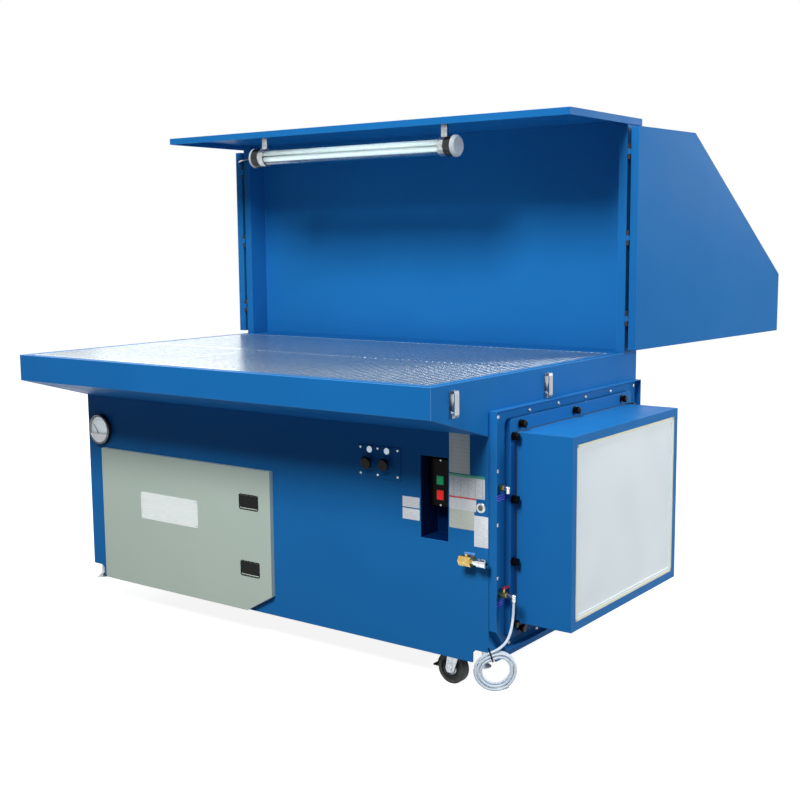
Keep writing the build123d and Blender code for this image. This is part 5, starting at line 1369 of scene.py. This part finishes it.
@dataclass
class SideFilter:
    """Side cover with its bolts, mount plate, knobs and the boxed after-filter."""

    seal_stand_off: float = 2.0
    seal_width: float = 4.0
    seal_height: float = 3.0
    rim_corner: float = 1.0
    label_width: float = 58.0
    label_height: float = 20.0
    label_places: tuple[tuple[float, float], ...] = ((366.0, 615.0), (352.0, 284.0))
    cover_face: float = 1833.0
    casing_border: float = 27.0
    bead_width: float = 8.0
    bead_height: float = 1.5

    def build(self) -> None:
        """Dresses the side and adds its seals and the valves' blank labels."""
        dress(BLUE_COAT, "side_cover", "filter_mount_plate", "after_filter_casing")
        dress(ZINC, "cover_bolts")
        dress(BLACK, "clamp_knobs")
        dress(MEDIA, "hepa_cell")
        self.add_seal()
        self.add_filter_edge()
        self.add_labels()

    def add_seal(self) -> None:
        """Adds the dark foam seal between the casing and its plate; its dark band also paints the shadow line at
        that joint.
        """
        shape = rim_model(
            "casing_seal", "after_filter_casing", Facing.RIGHT, self.seal_stand_off, self.seal_width,
            self.rim_corner, self.seal_height,
        ).soften(0.5)
        middle = middle_of("after_filter_casing")
        middle.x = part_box("after_filter_casing")[0].x
        # A foam seal whose dark colour also stands as painted shade for the joint's shadow line
        foam = Rubber("foam_seal_painted_shadow_line", "#16283E", "#1D3350")
        seat(shape.done(), facing_matrix(middle, Facing.RIGHT), foam, slot=Slot.RUBBER)

    def add_filter_edge(self) -> None:
        """Adds the cream sealing bead round the filter pad."""
        shape = rim_model(
            "filter_bead", "after_filter_casing", Facing.RIGHT, -self.casing_border, self.bead_width,
            self.rim_corner, self.bead_height,
        )
        middle = middle_of("after_filter_casing")
        middle.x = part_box("hepa_cell")[1].x
        cream = MouldedPlastic("cast_urethane_cream", "#E6E6CE", "#D8D8BE", 0.5)
        seat(shape.done(), facing_matrix(middle, Facing.RIGHT), cream)

    def add_labels(self) -> None:
        """Adds the blank blue labels below the two side valves."""
        shape = Shape.panel("valve_label", self.label_width, self.label_height, 1.0)
        shape.lift(0.5).inset(1.4).lift(-0.1)
        blue = RuledCard("printed_label_blue", "#2440D0", "#DCE4FF", 7.0, 0.6)
        moves = [facing_matrix(at(self.cover_face, y, z), Facing.RIGHT) for y, z in self.label_places]
        seat_copies(shape.done(), moves, blue)
        LOG.info("side labels")


@dataclass
class AirAndDrain:
    """Air inlet with its quick coupler, side valves, and the coiled drain hose."""

    hose_radius: float = 4.25
    coil_centre: Place = (1894.0, 240.0, 121.0)
    coil_turn: float = 36.4
    coil_outer: float = 66.5
    coil_pitch: float = 10.4
    coil_layer: float = 10.6
    coil_pinch: float = 11.5
    coil_pinch_angle: float = 110.0
    front_turns: float = 2.0
    back_turns: float = 2.0
    start_angle: float = 118.0
    points_per_turn: int = 16
    end_length: float = 9.0
    last_run: float = 26.0
    curve_share: float = 0.975
    fall: tuple[Place, ...] = (
        (1883.0, 360.0, 295.5), (1883.0, 359.0, 267.0), (1885.5, 349.0, 239.0), (1892.0, 329.0, 216.0),
        (1899.0, 302.0, 202.0), (1904.0, 274.0, 194.0),
    )
    plated: tuple[tuple[Finish, Place, Place], ...] = (
        (CHROME, (1790.5, 230.0, 400.0), (1850.0, 299.0, 460.0)),
        (NICKEL, (1858.8, 300.0, 280.0), (1900.0, 400.0, 345.0)),
        (NICKEL, (1848.0, 300.0, 600.0), (1900.0, 400.0, 700.0)),
    )

    def build(self) -> None:
        """Dresses the fittings and lays the hose."""
        dress(inlaid("brass_and_plated_fittings", BRASS, self.plated), "valve_bodies")
        dress(CHROME, "coupler_sleeve")
        dress(HANDLE_BLUE, "air_inlet_handle")
        dress(HANDLE_RED, "drain_handle")
        dress(BLACK, "hose_tie")
        self.lay_hose()

    def coil_point(self, turn: float) -> Vector:
        """Gives a point on the coil, drawn in at the tie.

        Args:
            turn: how many turns it is from the coil's start.

        Returns:
            The place in millimetres.
        """
        away = math.radians(self.start_angle - self.coil_pinch_angle) + math.tau * turn
        drawn_in = self.coil_pinch * max(math.cos(away), 0.0) ** 4
        wound = min(turn, self.front_turns) - max(turn - self.front_turns - 0.5, 0.0)
        radius = self.coil_outer - self.coil_pitch * wound - drawn_in
        share = min(max((turn - self.front_turns) * 2, 0.0), 1.0)
        layer = self.coil_layer * (1 - math.cos(math.pi * share)) / 2
        angle = math.radians(self.start_angle) + math.tau * turn
        side = math.radians(self.coil_turn)
        across = Vector((math.cos(side), math.sin(side), 0.0))
        back = Vector((-math.sin(side), math.cos(side), 0.0))
        flat = across * (radius * math.cos(angle)) + Vector((0.0, 0.0, radius * math.sin(angle)))
        return Vector(self.coil_centre) + flat + back * layer

    def route(self) -> list[Vector]:
        """Gives the hose's points from the barb through the coil, in millimetres."""
        turns = self.front_turns + self.back_turns + 0.5
        start = self.coil_point(0.0)
        way = (self.coil_point(0.001) - start).normalized()
        points = [Vector(place) for place in self.fall]
        points += [start - way * (self.end_length + self.last_run), start - way * self.end_length]
        steps = int(turns * self.points_per_turn)
        points += [self.coil_point(turns * step / steps) for step in range(steps + 1)]
        end = self.coil_point(turns)
        points.append(end + (end - self.coil_point(turns - 0.001)).normalized() * self.end_length)
        return points

    def lay_hose(self) -> None:
        data = bpy.data.curves.new("drain_hose_line", "CURVE")
        data.dimensions = "3D"
        spline = data.splines.new("NURBS")
        points = [at(*point) for point in self.route()]
        spline.points.add(len(points) - 1)
        for control, point in zip(spline.points, points):
            control.co = (*point, 1.0)
        spline.order_u = 3
        spline.use_endpoint_u = True
        spline.resolution_u = 4
        data.bevel_depth = self.hose_radius * MM
        data.bevel_resolution = 4
        data.use_fill_caps = True
        hose = bpy.data.objects.new("drain_hose_clear", data)
        bpy.context.scene.collection.objects.link(hose)
        data.materials.append(SOFT_PVC.material())
        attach(hose, Body.TABLE.value)
        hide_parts("drain_hose", "drain_hose_coil")


@dataclass
class Undercarriage:
    """Casters and levelling feet."""

    cap_radius: float = 20.0
    cap_height: float = 1.2

    def build(self) -> None:
        """Dresses the casters and feet, and adds the wheels' hub caps."""
        sides = ("left", "right")
        ends = ("front", "rear")
        dress(ZINC, "caster_plates", *[f"caster_fork_{side}" for side in sides])
        dress(ZINC, *[f"levelling_foot_{end}_{side}" for end in ends for side in sides])
        dress(BLACK, *[f"caster_pedal_{side}" for side in sides])
        dress(RUBBER, *[f"caster_wheel_{end}_{side}" for end in ends for side in sides])
        caps = {
            Body.WHEEL_FRONT_LEFT: (Facing.FRONT, Facing.BACK),
            Body.WHEEL_FRONT_RIGHT: (Facing.FRONT, Facing.BACK),
            Body.WHEEL_REAR_LEFT: (Facing.LEFT, Facing.RIGHT),
            Body.WHEEL_REAR_RIGHT: (Facing.LEFT, Facing.RIGHT),
        }
        for body, facings in caps.items():
            self.add_hub_caps(body, facings)

    def add_hub_caps(self, body: Body, facings: tuple[Facing, Facing]) -> None:
        """Adds the grey cap on both sides of a wheel's hub.

        Args:
            body: the wheel.
            facings: the two ways that its caps look.
        """
        low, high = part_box(body.value)
        middle = middle_of(body.value)
        radius = self.cap_radius
        shape = Shape.disc(f"{body.value}_hub", radius, SMALL_SIDES)
        shape.turned(radius, [(radius, self.cap_height / 2), (radius * 0.85, self.cap_height)])
        moves = []
        for facing in facings:
            way = Vector(facing.value)
            half = abs(way.dot(high - low)) / 2
            moves.append(facing_matrix(middle + way * (half - self.cap_height * MM * 0.4), facing))
        seat_copies(shape.done(), moves, GREY, body)


@dataclass(frozen=True)
class SoftBox:
    """A square soft light: place, aim and side in metres, power in watts."""

    name: str
    place: Place
    aim: Place
    side: float
    power: float

    def add(self) -> None:
        """Adds the light to the scene."""
        data = bpy.data.lights.new(self.name, "AREA")
        data.shape = "SQUARE"
        data.size = self.side
        data.energy = self.power
        lamp = bpy.data.objects.new(self.name, data)
        lamp.location = self.place
        lamp.rotation_euler = (Vector(self.aim) - Vector(self.place)).to_track_quat("-Z", "Y").to_euler()
        bpy.context.scene.collection.objects.link(lamp)


@dataclass
class Studio:
    """Pale floor, soft light and the camera at the photograph's place.

    The floor, its glow and the clip distances are metres, the angles are degrees.
    """

    camera_place: Place = (3715.54, -2697.65, 1394.35)
    azimuth: float = 36.43
    pitch: float = 7.58
    roll: float = -0.47
    focal_pixels: float = 1202.2
    frame_pixels: float = 800.0
    sensor: float = 36.0
    ambient: float = 0.02
    floor_half: float = 30.0
    glow_near: tuple[float, float] = (2.0, 0.9)
    glow_far: tuple[float, float] = (5.0, 1.0)
    clip_near: float = 0.1
    clip_far: float = 100.0
    lamps: tuple[SoftBox, ...] = (
        SoftBox("top_light", (0.0, -0.9, 5.5), (0.0, -0.6, 0.9), 3.0, 120.0),
        SoftBox("front_light", (1.4, -5.1, 5.0), (0.1, -0.8, 0.7), 1.9, 395.0),
        SoftBox("right_light", (6.2, 0.6, 2.6), (0.8, 0.0, 0.6), 2.0, 195.0),
        SoftBox("back_left_light", (-4.5, 4.6, 3.2), (-0.3, -0.6, 0.9), 4.2, 48.0),
        SoftBox("back_right_light", (2.5, 5.0, 2.8), (0.3, -0.6, 0.9), 2.4, 75.0),
        SoftBox("left_light", (-6.2, 1.2, 2.6), (-0.8, 0.2, 0.8), 2.0, 110.0),
    )

    def build(self) -> None:
        """Sets the colour view, the floor, the lamps and the camera."""
        bpy.context.scene.view_settings.view_transform = "Standard"
        self.add_world()
        self.add_floor()
        for lamp in self.lamps:
            lamp.add()
        self.add_camera()
        LOG.info("studio")

    def seen_rays(self, tree: bpy.types.NodeTree) -> bpy.types.NodeSocket:
        """Gives 1 for rays from the camera, a gloss or a clear piece, and 0 for the rest.

        Args:
            tree: the node tree.

        Returns:
            The share.
        """
        path = add_node(tree, "ShaderNodeLightPath")
        shine = add_node(
            tree, "ShaderNodeMath", {0: path.outputs["Is Glossy Ray"], 1: path.outputs["Is Transmission Ray"]},
            operation="MAXIMUM",
        )
        seen = add_node(
            tree, "ShaderNodeMath", {0: path.outputs["Is Camera Ray"], 1: shine.outputs[0]}, operation="MAXIMUM"
        )
        return seen.outputs[0]

    def add_world(self) -> None:
        """Adds the even surround, white where it is seen."""
        world = bpy.data.worlds.new("surround")
        bpy.context.scene.world = world
        world.use_nodes = True
        tree = world.node_tree
        tree.nodes.clear()
        soft = add_node(tree, "ShaderNodeBackground", {"Color": linear("#F4F8FF"), "Strength": self.ambient})
        white = add_node(tree, "ShaderNodeBackground", {"Color": linear("#FFFFFF"), "Strength": 1.0})
        mixed = add_node(
            tree, "ShaderNodeMixShader",
            {0: self.seen_rays(tree), 1: soft.outputs["Background"], 2: white.outputs["Background"]},
        )
        add_node(tree, "ShaderNodeOutputWorld", {"Surface": mixed.outputs["Shader"]})

    def add_floor(self) -> None:
        """Adds the plain white floor, which keeps the object's shadow."""
        clear_bench()
        bpy.ops.mesh.primitive_plane_add(size=self.floor_half * 2)
        floor = bpy.context.active_object
        floor.name = "floor"
        paint = bpy.data.materials.new("painted_floor")
        paint.use_nodes = True
        tree = paint.node_tree
        tree.nodes.clear()
        dim = add_node(tree, "ShaderNodeBsdfDiffuse", {"Color": linear("#6A6E72")})
        matt = add_node(tree, "ShaderNodeBsdfDiffuse", {"Color": linear("#B4B7BA")})
        place = add_node(tree, "ShaderNodeTexCoord").outputs["Object"]
        away = add_node(tree, "ShaderNodeVectorMath", {0: place}, operation="LENGTH")
        (near, dimmer), (far, full) = self.glow_near, self.glow_far
        level = add_node(
            tree, "ShaderNodeMapRange",
            {"Value": away.outputs["Value"], "From Min": near, "From Max": far, "To Min": dimmer, "To Max": full},
        )
        glow = add_node(
            tree, "ShaderNodeEmission", {"Color": linear("#FFFFFF"), "Strength": level.outputs["Result"]}
        )
        seen = add_node(tree, "ShaderNodeAddShader", {0: matt.outputs[0], 1: glow.outputs[0]})
        mixed = add_node(
            tree, "ShaderNodeMixShader", {0: self.seen_rays(tree), 1: dim.outputs[0], 2: seen.outputs[0]}
        )
        add_node(tree, "ShaderNodeOutputMaterial", {"Surface": mixed.outputs[0]})
        floor.data.materials.append(paint)

    def add_camera(self) -> None:
        """Adds the camera."""
        turn, tilt, roll = (math.radians(angle) for angle in (self.azimuth, self.pitch, self.roll))
        back = Vector((math.sin(turn) * math.cos(tilt), -math.cos(turn) * math.cos(tilt), math.sin(tilt)))
        right = Vector((math.cos(turn), math.sin(turn), 0.0))
        up = back.cross(right)
        rolled_right = right * math.cos(roll) + up * math.sin(roll)
        rolled_up = up * math.cos(roll) - right * math.sin(roll)
        data = bpy.data.cameras.new("photo_camera")
        data.sensor_width = self.sensor
        data.lens = self.focal_pixels / self.frame_pixels * self.sensor
        data.clip_start = self.clip_near
        data.clip_end = self.clip_far
        camera = bpy.data.objects.new("photo_camera", data)
        axes = Matrix((rolled_right, rolled_up, back)).transposed().to_4x4()
        camera.matrix_world = Matrix.Translation(at(*self.camera_place)) @ axes
        bpy.context.scene.collection.objects.link(camera)
        bpy.context.scene.camera = camera


def main() -> None:
    """Builds the table's looks in order, then the studio."""
    logging.basicConfig(level=logging.INFO, format="%(name)s: %(message)s")
    for part in (
        AirAndDrain(), Tray(), Cabinet(), Gauge(), Controls(), Upstand(), WorkLight(), SideFilter(),
        Undercarriage(), Studio(),
    ):
        part.build()
        LOG.info("%s is built", type(part).__name__)


if __name__ == "__main__":
    main()
